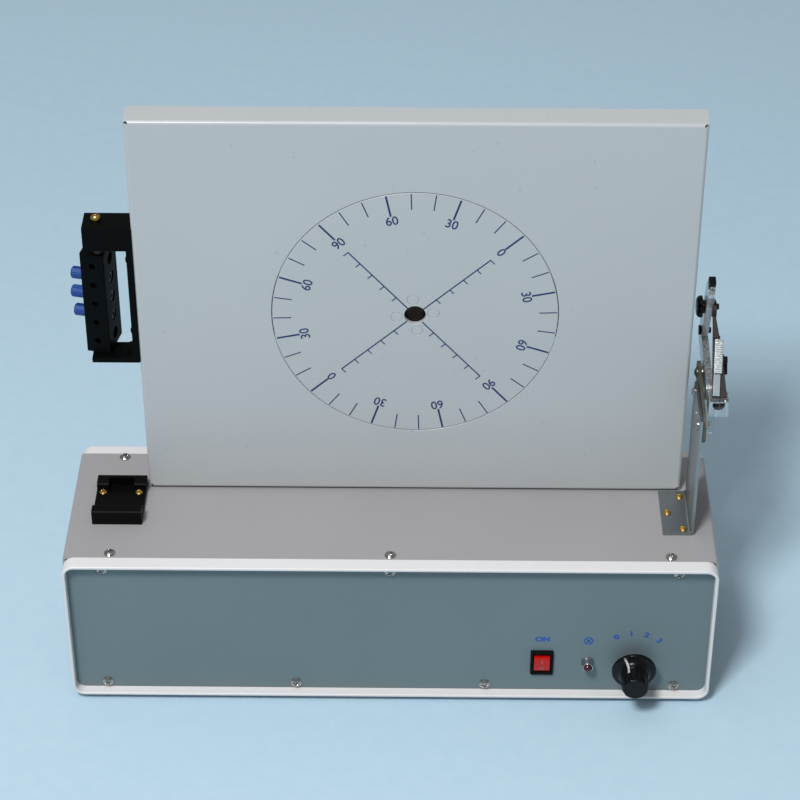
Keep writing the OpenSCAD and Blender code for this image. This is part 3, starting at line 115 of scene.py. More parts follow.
# Scales are grains or cells to the metre, so 900 gives a grain of 1.1 mm. Where a wave has that
# scale, about three of its bands take the place of one grain.
table_top, tree, place = begin_material("pale_laminate")
mottle = add_node(tree, "ShaderNodeTexNoise", {"Vector": place, "Scale": 90, "Detail": 3})
tone = add_node(tree, "ShaderNodeMix", {
    0: mottle.outputs["Fac"], 6: linear("#aecadb"), 7: linear("#b7d1e0"),
}, data_type="RGBA")
end_material(tree, {"Base Color": tone.outputs[2], "Roughness": 0.55})
shape = bmesh.new()
bmesh.ops.create_grid(shape, x_segments=1, y_segments=1, size=6)
table_mesh = bpy.data.meshes.new("table_top")
shape.to_mesh(table_mesh)
shape.free()
table_mesh.materials.append(table_top)
table = bpy.data.objects.new("table_top", table_mesh)
bpy.context.scene.collection.objects.link(table)

# The light is a soft box high in front, which draws a shadow under the case's lip, a weak one
# overhead and an even pale room. Polished surfaces see that room dimmer than the camera does,
# as in a studio with dark walls, so metal keeps its dark rims.
room = bpy.data.worlds.new("pale_room")
bpy.context.scene.world = room
room.use_nodes = True
tree = room.node_tree
tree.nodes.clear()
path = add_node(tree, "ShaderNodeLightPath")
FILL, BACKDROP, MIRRORED = 0.34, 1.0, 0.3
pale = add_node(tree, "ShaderNodeMath", {
    0: path.outputs["Is Camera Ray"], 1: path.outputs["Is Transmission Ray"],
}, operation="MAXIMUM")
level = add_node(tree, "ShaderNodeMath", {
    0: pale.outputs[0], 1: BACKDROP - FILL, 2: FILL}, operation="MULTIPLY_ADD")
level = add_node(tree, "ShaderNodeMath", {
    0: path.outputs["Is Glossy Ray"], 1: MIRRORED - FILL, 2: level.outputs[0],
}, operation="MULTIPLY_ADD")
air = add_node(tree, "ShaderNodeBackground", {
    "Color": linear("#f1f4f7"), "Strength": level.outputs[0]})
add_node(tree, "ShaderNodeOutputWorld", {"Surface": air.outputs[0]})
for name, spot, size, power in (
    ("soft_box_above", (-0.4, -0.2, 2.5), 1.6, 8),
    ("soft_box_front", (-0.75, -1.6, 2.65), 0.6, 80),
):
    lamp = bpy.data.objects.new(name, bpy.data.lights.new(name, "AREA"))
    lamp.data.size = size
    lamp.data.energy = power
    aim = Vector((0, 0, 0.15)) - Vector(spot)
    lamp.matrix_world = Matrix.Translation(spot) @ aim.to_track_quat("-Z", "Y").to_matrix().to_4x4()
    bpy.context.scene.collection.objects.link(lamp)

# The two end frames are bent steel sheet with satin white powder coat. The coat pulls back a
# little over each rim, which is why the lip's edges look soft, and it has a fine orange peel.
white_coat, tree, place = begin_material("white_powder_coat_on_steel")
peel = add_node(tree, "ShaderNodeTexNoise", {"Vector": place, "Scale": 620, "Detail": 2})
cloud = add_node(tree, "ShaderNodeTexNoise", {"Vector": place, "Scale": 22, "Detail": 4})
tone = add_node(tree, "ShaderNodeMix", {
    0: cloud.outputs["Fac"], 6: linear("#d3d2d3"), 7: linear("#d9d8d9"),
}, data_type="RGBA")
gloss = add_node(tree, "ShaderNodeMapRange", {0: cloud.outputs["Fac"], 3: 0.34, 4: 0.46})
relief = add_node(tree, "ShaderNodeBump", {
    "Height": peel.outputs["Fac"], "Strength": 0.25, "Distance": 0.05 * MM,
})
end_material(tree, {
    "Base Color": tone.outputs[2], "Roughness": gloss.outputs[0], "Normal": relief.outputs[0],
})


HAIR = 0.01 * MM
SHARP_FROM = math.radians(35)
SMOOTH_BELOW = math.radians(38)


def finish_part(node, material, width=0.0, segments=2, rim=None, reshape=None, name=None):
    """A finished copy of a CAD piece: merged, corrected, its chosen edges rounded and smoothed."""
    shape = bmesh.new()
    shape.from_mesh(frame["nodes"][node].data)
    bmesh.ops.remove_doubles(shape, verts=shape.verts[:], dist=0.002 * MM)
    bmesh.ops.dissolve_limit(
        shape, angle_limit=math.radians(0.4), verts=shape.verts[:], edges=shape.edges[:])
    bmesh.ops.recalc_face_normals(shape, faces=shape.faces[:])
    if reshape:
        reshape(shape)
    if width:
        sharp = [
            e for e in shape.edges
            if len(e.link_faces) == 2 and e.calc_face_angle(0) > SHARP_FROM
            and (rim is None or all(rim(v.co) for v in e.verts))
        ]
        bmesh.ops.bevel(
            shape, geom=sharp, offset=width, segments=segments, profile=0.5,
            affect="EDGES", material=-1, clamp_overlap=True)
    return place_part(name or node + "_finished", shape, material,
                      frame["nodes"][node]["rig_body"], [node])


def loose_solids(shape):
    """The separate solids of a piece, each as a list of its vertices, from the lowest up."""
    waiting = set(shape.verts)
    solids = []
    for start in shape.verts:
        if start not in waiting:
            continue
        waiting.remove(start)
        solid = [start]
        for corner in solid:
            for edge in corner.link_edges:
                other = edge.other_vert(corner)
                if other in waiting:
                    waiting.remove(other)
                    solid.append(other)
        solids.append(solid)
    return sorted(solids, key=lambda solid: sum(v.co.z for v in solid) / len(solid))


def place_part(name, shape, material, body, stands_for=()):
    """Turns a bmesh into a piece that rides on a body, smooth but for its sharp edges."""
    mesh = bpy.data.meshes.new(name)
    shape.to_mesh(mesh)
    shape.free()
    mesh.polygons.foreach_set("use_smooth", [True] * len(mesh.polygons))
    mesh.set_sharp_from_angle(angle=SMOOTH_BELOW)
    mesh.materials.append(material)
    part = bpy.data.objects.new(name, mesh)
    bpy.context.scene.collection.objects.link(part)
    level = part.modifiers.new("even_normals", "WEIGHTED_NORMAL")
    level.keep_sharp = True
    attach(part, body)
    if stands_for:
        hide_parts(*stands_for)
    return part


front_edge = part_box("front_frame")[0].y
rear_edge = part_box("rear_frame")[1].y
finish_part("front_frame", white_coat, width=0.8 * MM, segments=3,
            rim=lambda p: p.y < front_edge + HAIR)
finish_part("rear_frame", white_coat, width=0.8 * MM, segments=3,
            rim=lambda p: p.y > rear_edge - HAIR)

# The cover and the floor are folded sheet in mid-grey structure paint: a satin coat with a
# fine pebble of about half a millimetre, drawn twice as coarse so that it shows.
grey_coat, tree, place = begin_material("grey_structure_paint_on_steel")
pebble = add_node(tree, "ShaderNodeTexVoronoi", {"Vector": place, "Scale": 1000})
cloud = add_node(tree, "ShaderNodeTexNoise", {"Vector": place, "Scale": 14, "Detail": 5})
tone = add_node(tree, "ShaderNodeMix", {
    0: cloud.outputs["Fac"], 6: linear("#939294"), 7: linear("#9b999b"),
}, data_type="RGBA")
gloss = add_node(tree, "ShaderNodeMapRange", {0: cloud.outputs["Fac"], 3: 0.36, 4: 0.5})
relief = add_node(tree, "ShaderNodeBump", {
    "Height": pebble.outputs["Distance"], "Strength": 0.2, "Distance": 0.06 * MM,
})
end_material(tree, {
    "Base Color": tone.outputs[2], "Roughness": gloss.outputs[0], "Normal": relief.outputs[0],
})
finish_part("top_cover", grey_coat)
finish_part("bottom_plate", grey_coat)

# The end panels are flat aluminium in a matt grey-green paint, screwed to the frames. The paint
# is so fine that only a faint drift of tone breaks it up.
panel_coat, tree, place = begin_material("matt_grey_green_paint_on_aluminium")
drift = add_node(tree, "ShaderNodeTexNoise", {"Vector": place, "Scale": 9, "Detail": 6})
grit = add_node(tree, "ShaderNodeTexNoise", {"Vector": place, "Scale": 1500, "Detail": 1})
tone = add_node(tree, "ShaderNodeMix", {
    0: drift.outputs["Fac"], 6: linear("#637378"), 7: linear("#6b7c81"),
}, data_type="RGBA")
relief = add_node(tree, "ShaderNodeBump", {
    "Height": grit.outputs["Fac"], "Strength": 0.15, "Distance": 0.04 * MM,
})
end_material(tree, {
    "Base Color": tone.outputs[2], "Roughness": 0.52, "Normal": relief.outputs[0],
})
finish_part("front_panel", panel_coat)
finish_part("rear_panel", panel_coat)

# All case screws are cross-slotted pan heads in nickel-plated steel. The plating is bright, with
# a bloom a millimetre across that dulls it in places.
nickel, tree, place = begin_material("nickel_plated_steel")
bloom = add_node(tree, "ShaderNodeTexNoise", {"Vector": place, "Scale": 900, "Detail": 3})
gloss = add_node(tree, "ShaderNodeMapRange", {0: bloom.outputs["Fac"], 3: 0.1, 4: 0.24})
end_material(tree, {
    "Base Color": linear("#adaca8"), "Metallic": 1.0, "Roughness": gloss.outputs[0],
})
for screws in ("cover_screws", "panel_screws", "foot_screws", "screen_bolts", "strut_screws",
               "board_spacers", "transformer_bolts"):
    finish_part(screws, nickel)

# The feet are moulded black rubber with a matt skin, and each has a recess for the head of the
# screw that holds it.
rubber, tree, place = begin_material("moulded_rubber")
skin = add_node(tree, "ShaderNodeTexNoise", {"Vector": place, "Scale": 1100, "Detail": 4})
tone = add_node(tree, "ShaderNodeMix", {
    0: skin.outputs["Fac"], 6: linear("#161616"), 7: linear("#242424"),
}, data_type="RGBA")
relief = add_node(tree, "ShaderNodeBump", {
    "Height": skin.outputs["Fac"], "Strength": 0.4, "Distance": 0.08 * MM,
})
end_material(tree, {
    "Base Color": tone.outputs[2], "Roughness": 0.8, "Normal": relief.outputs[0],
})
finish_part("rubber_feet", rubber)

# The rocker switch snaps into the panel. Its housing is moulded black nylon with a fine spark
# grain, and its bezel's front edges are rounded by the mould.
black_nylon, tree, place = begin_material("moulded_black_nylon")
grain = add_node(tree, "ShaderNodeTexNoise", {"Vector": place, "Scale": 1400, "Detail": 3})
tone = add_node(tree, "ShaderNodeMix", {
    0: grain.outputs["Fac"], 6: linear("#020202"), 7: linear("#060606"),
}, data_type="RGBA")
relief = add_node(tree, "ShaderNodeBump", {
    "Height": grain.outputs["Fac"], "Strength": 0.35, "Distance": 0.05 * MM,
})
end_material(tree, {
    "Base Color": tone.outputs[2], "Roughness": 0.5, "Specular IOR Level": 0.1,
    "Normal": relief.outputs[0],
})
bezel_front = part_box("switch_housing")[0].y
finish_part("switch_housing", black_nylon, width=0.5 * MM,
            rim=lambda p: p.y < bezel_front + HAIR)

# The rocker is glossy red polycarbonate, a little clear at its edges, with a bar and a ring
# moulded in to mark on and off.
red_plastic, tree, place = begin_material("glossy_red_polycarbonate")
swirl = add_node(tree, "ShaderNodeTexNoise", {"Vector": place, "Scale": 160, "Detail": 2})
tone = add_node(tree, "ShaderNodeMix", {
    0: swirl.outputs["Fac"], 6: linear("#ae0c09"), 7: linear("#c8130d"),
}, data_type="RGBA")
end_material(tree, {
    "Base Color": tone.outputs[2], "Roughness": 0.3, "Specular IOR Level": 0.3,
    "Subsurface Weight": 0.08, "Subsurface Radius": (0.002, 0.0006, 0.0004),
})
finish_part("switch_rocker", red_plastic, width=0.4 * MM)
rocker_low, rocker_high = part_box("switch_rocker")
PIN_DEPTH = 1 * MM
ROCKER_REST = math.radians(9)
FACE_SLOPE = math.radians(9.83)
RING_SPOT = Vector((0, -3.99, -3.4)) * MM
BAR_SPOT = Vector((0, -3.96, 3.2)) * MM
MARK_RISE = 0.1 * MM
rocker_pin = Vector((
    (rocker_low.x + rocker_high.x) / 2,
    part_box("front_panel")[0].y + PIN_DEPTH,
    (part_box("switch_housing")[0].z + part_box("switch_housing")[1].z) / 2,
))
rocker_at_rest = Matrix.Translation(rocker_pin) @ Matrix.Rotation(ROCKER_REST, 4, "X")
mark = bmesh.new()
bmesh.ops.create_circle(mark, cap_ends=False, segments=32, radius=1.5 * MM)
bmesh.ops.create_circle(mark, cap_ends=False, segments=32, radius=1.15 * MM)
bmesh.ops.bridge_loops(mark, edges=mark.edges[:])
bmesh.ops.solidify(mark, geom=mark.faces[:], thickness=MARK_RISE)
upright = Matrix.Rotation(math.radians(90), 4, "X")
bmesh.ops.transform(mark, verts=mark.verts[:], matrix=(
    rocker_at_rest @ Matrix.Translation(RING_SPOT) @ Matrix.Rotation(FACE_SLOPE, 4, "X") @ upright))
bar = bmesh.ops.create_cube(mark, size=1)["verts"]
bmesh.ops.transform(mark, verts=bar, matrix=(
    rocker_at_rest @ Matrix.Translation(BAR_SPOT) @ Matrix.Rotation(-FACE_SLOPE, 4, "X")
    @ Matrix.Diagonal((0.4 * MM, MARK_RISE, 2.6 * MM, 1))))
bmesh.ops.recalc_face_normals(mark, faces=mark.faces[:])

# The marks are a pale pad print that fingers have worn, so the red shows through it.
faded_print, tree, place = begin_material("faded_grey_pad_print")
worn = add_node(tree, "ShaderNodeTexNoise", {"Vector": place, "Scale": 1500, "Detail": 3})
tone = add_node(tree, "ShaderNodeMix", {
    0: worn.outputs["Fac"], 6: linear("#8e3a34"), 7: linear("#c79a93"),
}, data_type="RGBA")
end_material(tree, {"Base Color": tone.outputs[2], "Roughness": 0.45})
place_part("rocker_marks", mark, faded_print, "rocker")

# The indicator lamp is a chromed brass barrel that clamps in the panel, with a dark red
# polystyrene lens pushed in from behind.
chrome, tree, place = begin_material("chromed_brass")
haze = add_node(tree, "ShaderNodeTexNoise", {"Vector": place, "Scale": 700, "Detail": 2})
gloss = add_node(tree, "ShaderNodeMapRange", {0: haze.outputs["Fac"], 3: 0.08, 4: 0.22})
end_material(tree, {
    "Base Color": linear("#b9b7b4"), "Metallic": 1.0, "Roughness": gloss.outputs[0],
})
finish_part("lamp_bezel", chrome)

# Unlit, the lens is nearly black, and its polished face mirrors the room.
red_lens, tree, place = begin_material("dark_red_polystyrene_lens")
depth = add_node(tree, "ShaderNodeTexNoise", {"Vector": place, "Scale": 240, "Detail": 1})
tone = add_node(tree, "ShaderNodeMix", {
    0: depth.outputs["Fac"], 6: linear("#26070a"), 7: linear("#3c0d12"),
}, data_type="RGBA")
end_material(tree, {"Base Color": tone.outputs[2], "Roughness": 0.12, "Coat Weight": 0.4})
finish_part("lamp_lens", red_lens)

# The selector is a rotary switch behind the panel with a steel shaft. Its knob is glossy black
# phenolic: a thin skirt that sweeps up into a fluted grip.
steel, tree, place = begin_material("turned_steel")
turning = add_node(tree, "ShaderNodeTexNoise", {
    "Vector": add_node(tree, "ShaderNodeMapping", {
        "Vector": place, "Scale": (300, 3000, 300)}).outputs[0],
    "Scale": 1.0, "Detail": 3})
gloss = add_node(tree, "ShaderNodeMapRange", {0: turning.outputs["Fac"], 3: 0.28, 4: 0.5})
end_material(tree, {
    "Base Color": linear("#8b8c8e"), "Metallic": 1.0, "Roughness": gloss.outputs[0],
})
finish_part("selector_switch", steel)
finish_part("selector_shaft", steel)

# The moulded phenolic is a deep black with a clean gloss and hardly any grain.
phenolic, tree, place = begin_material("glossy_black_phenolic")
fleck = add_node(tree, "ShaderNodeTexNoise", {"Vector": place, "Scale": 500, "Detail": 4})
tone = add_node(tree, "ShaderNodeMix", {
    0: fleck.outputs["Fac"], 6: linear("#020203"), 7: linear("#060708"),
}, data_type="RGBA")
gloss = add_node(tree, "ShaderNodeMapRange", {0: fleck.outputs["Fac"], 3: 0.2, 4: 0.32})
end_material(tree, {
    "Base Color": tone.outputs[2], "Roughness": gloss.outputs[0], "Specular IOR Level": 0.25,
})
finish_part("selector_knob", phenolic)

# A white line is pressed into the knob along its skirt and up the grip. It points at one of the
# four numbers, and its paint stands a tenth of a millimetre proud.
print_white, tree, place = begin_material("pale_pad_print")
worn = add_node(tree, "ShaderNodeTexNoise", {"Vector": place, "Scale": 1800, "Detail": 2})
tone = add_node(tree, "ShaderNodeMix", {
    0: worn.outputs["Fac"], 6: linear("#d9dbdb"), 7: linear("#f4f4f2"),
}, data_type="RGBA")
end_material(tree, {"Base Color": tone.outputs[2], "Roughness": 0.5})
knob_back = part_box("selector_knob")[1].y
shaft_low, shaft_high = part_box("selector_shaft")
knob_axis = Vector((
    (shaft_low.x + shaft_high.x) / 2, 0, (shaft_low.z + shaft_high.z) / 2))
SPIGOT = 3 * MM
SWEEP_CENTRE = (13.2, 7.3)
SWEEP_RADIUS = 4.6
LINE_HALF_WIDTH = 0.7
POINTER_TURN = math.radians(119)
skirt_back = knob_back - SPIGOT
line_path = [(14.0, 2.42), (13.0, 2.55)]
line_path += [
    (SWEEP_CENTRE[0] - SWEEP_RADIUS * math.sin(math.radians(a)),
     SWEEP_CENTRE[1] - SWEEP_RADIUS * math.cos(math.radians(a)))
    for a in range(0, 91, 15)]
line_path += [(SWEEP_CENTRE[0] - SWEEP_RADIUS, 11.0)]
pointer = bmesh.new()
rows = [
    [pointer.verts.new((r * MM, side * LINE_HALF_WIDTH * MM, h * MM)) for side in (-1, 1)]
    for r, h in line_path]
for low, high in zip(rows, rows[1:]):
    pointer.faces.new((low[0], high[0], high[1], low[1]))
bmesh.ops.solidify(pointer, geom=pointer.faces[:], thickness=0.12 * MM)
bmesh.ops.recalc_face_normals(pointer, faces=pointer.faces[:])
bmesh.ops.transform(pointer, verts=pointer.verts[:], matrix=(
    Matrix.Translation((knob_axis.x, skirt_back, knob_axis.z))
    @ upright @ Matrix.Rotation(POINTER_TURN, 4, "Z")))
place_part("knob_pointer", pointer, print_white, "selector")


# The marks on the front panel are blue screen print: the four positions round the knob, ON
# over the switch and a lamp sign over the lamp.
INK = 0.06 * MM
CAPITAL_HEIGHT = 0.73


def add_print_block(shape, centre, size, turn=0.0):
    """A thin printed block on a face that looks towards the viewer."""
    block = bmesh.ops.create_cube(shape, size=1)["verts"]
    bmesh.ops.transform(shape, verts=block, matrix=(
        Matrix.Translation(centre) @ Matrix.Rotation(-turn, 4, "Y")
        @ Matrix.Diagonal((size[0], INK, size[1], 1))))


def add_print_text(shape, words, centre, height, turn=0.0, stretch=1.0, bold=0.1):
    """Words in outline type, made a mesh and then laid on a face that looks towards the viewer."""
    curve = bpy.data.curves.new("printed_text", "FONT")
    curve.body = words
    curve.size = height / CAPITAL_HEIGHT
    curve.align_x = "CENTER"
    curve.align_y = "CENTER"
    curve.extrude = INK / 2
    curve.offset = bold * MM
    text = bpy.data.objects.new("printed_text", curve)
    bpy.context.scene.collection.objects.link(text)
    mesh = bpy.data.meshes.new_from_object(text.evaluated_get(bpy.context.evaluated_depsgraph_get()))
    bpy.data.objects.remove(text)
    mesh.transform(
        Matrix.Translation(centre) @ Matrix.Rotation(-turn, 4, "Y") @ upright
        @ Matrix.Diagonal((stretch, 1, 1, 1)))
    shape.from_mesh(mesh)
    bpy.data.meshes.remove(mesh)


# The ink is an opaque matt blue, with pinholes where the screen's mesh left it thin.
blue_ink, tree, place = begin_material("blue_screen_print")
pinholes = add_node(tree, "ShaderNodeTexNoise", {"Vector": place, "Scale": 1600, "Detail": 2})
tone = add_node(tree, "ShaderNodeMix", {
    0: pinholes.outputs["Fac"], 6: linear("#12479a"), 7: linear("#1d56ac"),
}, data_type="RGBA")
end_material(tree, {"Base Color": tone.outputs[2], "Roughness": 0.5})
panel_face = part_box("front_panel")[0].y
print_y = panel_face - INK / 4
NUMBER_RING = 25 * MM
WORD_ABOVE_SWITCH = 19.5 * MM
SIGN_ABOVE_LAMP = 18.5 * MM
marks = bmesh.new()
for words, angle in (("0", 118.7), ("1", 95.5), ("2", 72.3), ("3", 50.0)):
    a = math.radians(angle)
    spot = Vector((
        knob_axis.x + NUMBER_RING * math.cos(a), print_y, knob_axis.z + NUMBER_RING * math.sin(a)))
    add_print_text(marks, words, spot, 3.9 * MM, turn=a - math.pi / 2, stretch=1.2, bold=0.22)
word_spot = Vector((rocker_pin.x, print_y, rocker_pin.z + WORD_ABOVE_SWITCH))
add_print_text(marks, "ON", word_spot, 3.7 * MM, stretch=1.2, bold=0.25)
lamp_low, lamp_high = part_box("lamp_bezel")
lamp_centre = Vector(((lamp_low.x + lamp_high.x) / 2, print_y, knob_axis.z + SIGN_ABOVE_LAMP))
sign = bmesh.new()
bmesh.ops.create_circle(sign, cap_ends=False, segments=48, radius=3.1 * MM)
bmesh.ops.create_circle(sign, cap_ends=False, segments=48, radius=2.3 * MM)
bmesh.ops.bridge_loops(sign, edges=sign.edges[:])
bmesh.ops.solidify(sign, geom=sign.faces[:], thickness=INK)
bmesh.ops.recalc_face_normals(sign, faces=sign.faces[:])
bmesh.ops.transform(sign, verts=sign.verts[:], matrix=Matrix.Translation(lamp_centre) @ upright)
sign_mesh = bpy.data.meshes.new("lamp_sign")
sign.to_mesh(sign_mesh)
sign.free()
marks.from_mesh(sign_mesh)
bpy.data.meshes.remove(sign_mesh)
for turn in (45, -45):
    add_print_block(marks, lamp_centre, (5.2 * MM, 0.8 * MM), math.radians(turn))
place_part("front_panel_print", marks, blue_ink, "base")

# The mains inlet is a moulded nylon socket held by two screws, and the fuse holder beside it
# is phenolic with a bayonet cap. Both sit in holes of the rear panel.
inlet_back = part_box("mains_inlet")[1].y
finish_part("mains_inlet", black_nylon, width=0.4 * MM,
            rim=lambda p: p.y > inlet_back - HAIR)
fuse_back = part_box("fuse_holder")[1].y
finish_part("fuse_holder", phenolic, width=0.3 * MM,
            rim=lambda p: p.y > fuse_back - HAIR)

# The transformer has a core of varnished steel laminations, half a millimetre each, and a
# coil wrapped in yellow polyester tape.
laminations, tree, place = begin_material("varnished_silicon_steel_laminations")
split = add_node(tree, "ShaderNodeSeparateXYZ", {0: place})
leaf = add_node(tree, "ShaderNodeMath", {
    0: add_node(tree, "ShaderNodeMath", {0: split.outputs["Y"], 1: 2 * math.pi / (1.0 * MM)},
                operation="MULTIPLY").outputs[0]}, operation="SINE")
tone = add_node(tree, "ShaderNodeMix", {
    0: add_node(tree, "ShaderNodeMapRange", {0: leaf.outputs[0], 1: -1.0, 2: 1.0}).outputs[0],
    6: linear("#3b3c3e"), 7: linear("#6a6c6f"),
}, data_type="RGBA")
relief = add_node(tree, "ShaderNodeBump", {
    "Height": leaf.outputs[0], "Strength": 0.5, "Distance": 0.1 * MM,
})
end_material(tree, {
    "Base Color": tone.outputs[2], "Metallic": 0.8, "Roughness": 0.45, "Normal": relief.outputs[0],
})
finish_part("transformer_core", laminations, width=0.3 * MM)

# The tape is glossy and a little clear, with an edge at each lap.
coil_tape, tree, place = begin_material("yellow_polyester_tape")
lap = add_node(tree, "ShaderNodeTexWave", {
    "Vector": place, "Scale": 60, "Distortion": 0.6}, wave_type="BANDS", bands_direction="Z")
tone = add_node(tree, "ShaderNodeMix", {
    0: lap.outputs["Fac"], 6: linear("#b99a3c"), 7: linear("#d6bd5c"),
}, data_type="RGBA")
end_material(tree, {"Base Color": tone.outputs[2], "Roughness": 0.3, "Coat Weight": 0.2})
finish_part("transformer_coil", coil_tape, width=0.8 * MM)

# The supply board is glass-epoxy with green solder mask. Its parts are dark moulded bodies.
# The mask is a glossy green film, paler over the copper.
solder_mask, tree, place = begin_material("green_solder_mask_on_glass_epoxy")
tracks = add_node(tree, "ShaderNodeTexBrick", {
    "Vector": place, "Scale": 120, "Color1": linear("#0f4a2b"), "Color2": linear("#155a34"),
    "Mortar": linear("#2b7a4a"), "Mortar Size": 0.03})
end_material(tree, {"Base Color": tracks.outputs["Color"], "Roughness": 0.25, "Coat Weight": 0.5})
finish_part("supply_board", solder_mask)

# The parts' bodies are cast in a dull blue-black epoxy with a fine speck.
dark_epoxy, tree, place = begin_material("moulded_dark_epoxy")
speck = add_node(tree, "ShaderNodeTexNoise", {"Vector": place, "Scale": 800, "Detail": 2})
tone = add_node(tree, "ShaderNodeMix", {
    0: speck.outputs["Fac"], 6: linear("#14161f"), 7: linear("#242838"),
}, data_type="RGBA")
end_material(tree, {"Base Color": tone.outputs[2], "Roughness": 0.38})
finish_part("board_parts", dark_epoxy, width=0.3 * MM)

# The screen is one steel sheet folded back on four sides. Its white enamel is glossier and
# bluer than the frames', with orange peel and a little dust.
screen_enamel, tree, place = begin_material("white_enamel_on_steel")
peel = add_node(tree, "ShaderNodeTexNoise", {"Vector": place, "Scale": 420, "Detail": 2})
cloud = add_node(tree, "ShaderNodeTexNoise", {"Vector": place, "Scale": 7, "Detail": 5})
dust = add_node(tree, "ShaderNodeTexVoronoi", {"Vector": place, "Scale": 70})
grain = add_node(tree, "ShaderNodeMapRange", {0: dust.outputs["Distance"], 1: 0.03, 2: 0.05})
tone = add_node(tree, "ShaderNodeMix", {
    0: cloud.outputs["Fac"], 6: linear("#acb0b2"), 7: linear("#b4b8ba"),
}, data_type="RGBA")
dusty = add_node(tree, "ShaderNodeMix", {
    0: grain.outputs[0], 6: linear("#989da0"), 7: tone.outputs[2],
}, data_type="RGBA")
gloss = add_node(tree, "ShaderNodeMapRange", {0: cloud.outputs["Fac"], 3: 0.24, 4: 0.36})
relief = add_node(tree, "ShaderNodeBump", {
    "Height": peel.outputs["Fac"], "Strength": 0.2, "Distance": 0.05 * MM,
})
end_material(tree, {
    "Base Color": dusty.outputs[2], "Roughness": gloss.outputs[0], "Normal": relief.outputs[0],
})
dial_low, dial_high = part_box("dial_disc")
dial_centre = (dial_low + dial_high) / 2
dial_radius = (dial_high.x - dial_low.x) / 2
finish_part("screen_panel", screen_enamel, width=0.35 * MM,
            rim=lambda p: p.y < dial_low.y + HAIR
            and math.hypot(p.x - dial_centre.x, p.z - dial_centre.z) < dial_radius + 2 * MM)

# The washers under the screen are punched from red-brown fibre, dull and slightly mottled.
fibre, tree, place = begin_material("vulcanised_fibre")
felt = add_node(tree, "ShaderNodeTexNoise", {"Vector": place, "Scale": 1200, "Detail": 4})
tone = add_node(tree, "ShaderNodeMix", {
    0: felt.outputs["Fac"], 6: linear("#6d4028"), 7: linear("#8a5636"),
}, data_type="RGBA")
end_material(tree, {"Base Color": tone.outputs[2], "Roughness": 0.7})
finish_part("screen_washers", fibre)

# The dial is a turned aluminium disc in the same enamel, with four flush heads round its
# socket. A hair of bevel at its rim draws the thin circle that the eye sees.
finish_part("dial_disc", screen_enamel, width=0.35 * MM,
            rim=lambda p: p.y < dial_low.y + HAIR)
rivet_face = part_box("dial_rivets")[0].y
finish_part("dial_rivets", screen_enamel, width=0.45 * MM,
            rim=lambda p: p.y < rivet_face + HAIR)

# The dial's scale is navy print: ticks each 10 degrees, heavy ones each 30 with their numbers,
# and two crossed axes with short steps along them.
NUMBER_RADIUS = 71 * MM
LONG_TICK, SHORT_TICK = 14.8 * MM, 11.2 * MM
HEAVY_LINE, FINE_LINE = 1.25 * MM, 0.75 * MM
RIM_GAP = 0.6 * MM
AXIS_END = 62.8 * MM
STEP_REACHES = (17.8, 29.1, 40.3, 51.5, 62.6)
STEP_LENGTH, STEP_WIDTH, AXIS_WIDTH = 3.9 * MM, 0.7 * MM, 0.85 * MM
navy_ink, tree, place = begin_material("navy_screen_print")
pinholes = add_node(tree, "ShaderNodeTexNoise", {"Vector": place, "Scale": 1600, "Detail": 2})
tone = add_node(tree, "ShaderNodeMix", {
    0: pinholes.outputs["Fac"], 6: linear("#0b2150"), 7: linear("#142f66"),
}, data_type="RGBA")
end_material(tree, {"Base Color": tone.outputs[2], "Roughness": 0.45})
zero_angle = 41.7
dial_face = dial_low.y - INK / 4
socket_radius = 6.8 * MM


def on_dial(radius, angle, aside=0.0):
    a = math.radians(angle)
    return Vector((
        dial_centre.x + radius * math.cos(a) - aside * math.sin(a),
        dial_face,
        dial_centre.z + radius * math.sin(a) + aside * math.cos(a)))


scale_print = bmesh.new()
for step in range(36):
    angle = zero_angle + 10 * step
    heavy = step % 3 == 0
    length = LONG_TICK if heavy else SHORT_TICK
    middle = on_dial(dial_radius - RIM_GAP - length / 2, angle)
    line = HEAVY_LINE if heavy else FINE_LINE
    add_print_block(scale_print, middle, (length, line), math.radians(angle))
    if heavy:
        number = (0, 30, 60, 90, 60, 30)[step // 3 % 6]
        add_print_text(scale_print, str(number), on_dial(NUMBER_RADIUS, angle), 6.3 * MM,
                       turn=math.radians(angle - 90), stretch=0.95, bold=0.1)
for quarter, side in ((0, -1), (1, 1), (2, 1), (3, -1)):
    angle = zero_angle + 90 * quarter
    length = AXIS_END - socket_radius
    add_print_block(scale_print, on_dial(socket_radius + length / 2, angle), (length, AXIS_WIDTH),
                    math.radians(angle))
    for reach in STEP_REACHES:
        spot = on_dial(reach * MM, angle, side * STEP_LENGTH / 2)
        add_print_block(scale_print, spot, (STEP_WIDTH, STEP_LENGTH), math.radians(angle))
place_part("dial_scale_print", scale_print, navy_ink, "dial")

# Behind the dial its hub turns in a brass bush on a folded aluminium strut. The hub is blackened steel,
# and its brown-black colour also stands in for painted shade deep in the socket.
blackened, tree, place = begin_material("blackened_steel")
bloom = add_node(tree, "ShaderNodeTexNoise", {"Vector": place, "Scale": 350, "Detail": 4})
tone = add_node(tree, "ShaderNodeMix", {
    0: bloom.outputs["Fac"], 6: linear("#2b2521"), 7: linear("#463d35"),
}, data_type="RGBA")
gloss = add_node(tree, "ShaderNodeMapRange", {0: bloom.outputs["Fac"], 3: 0.3, 4: 0.5})
end_material(tree, {
    "Base Color": tone.outputs[2], "Metallic": 0.85, "Roughness": gloss.outputs[0],
})
finish_part("dial_hub", blackened)
finish_part("dial_nut", steel, width=0.3 * MM)

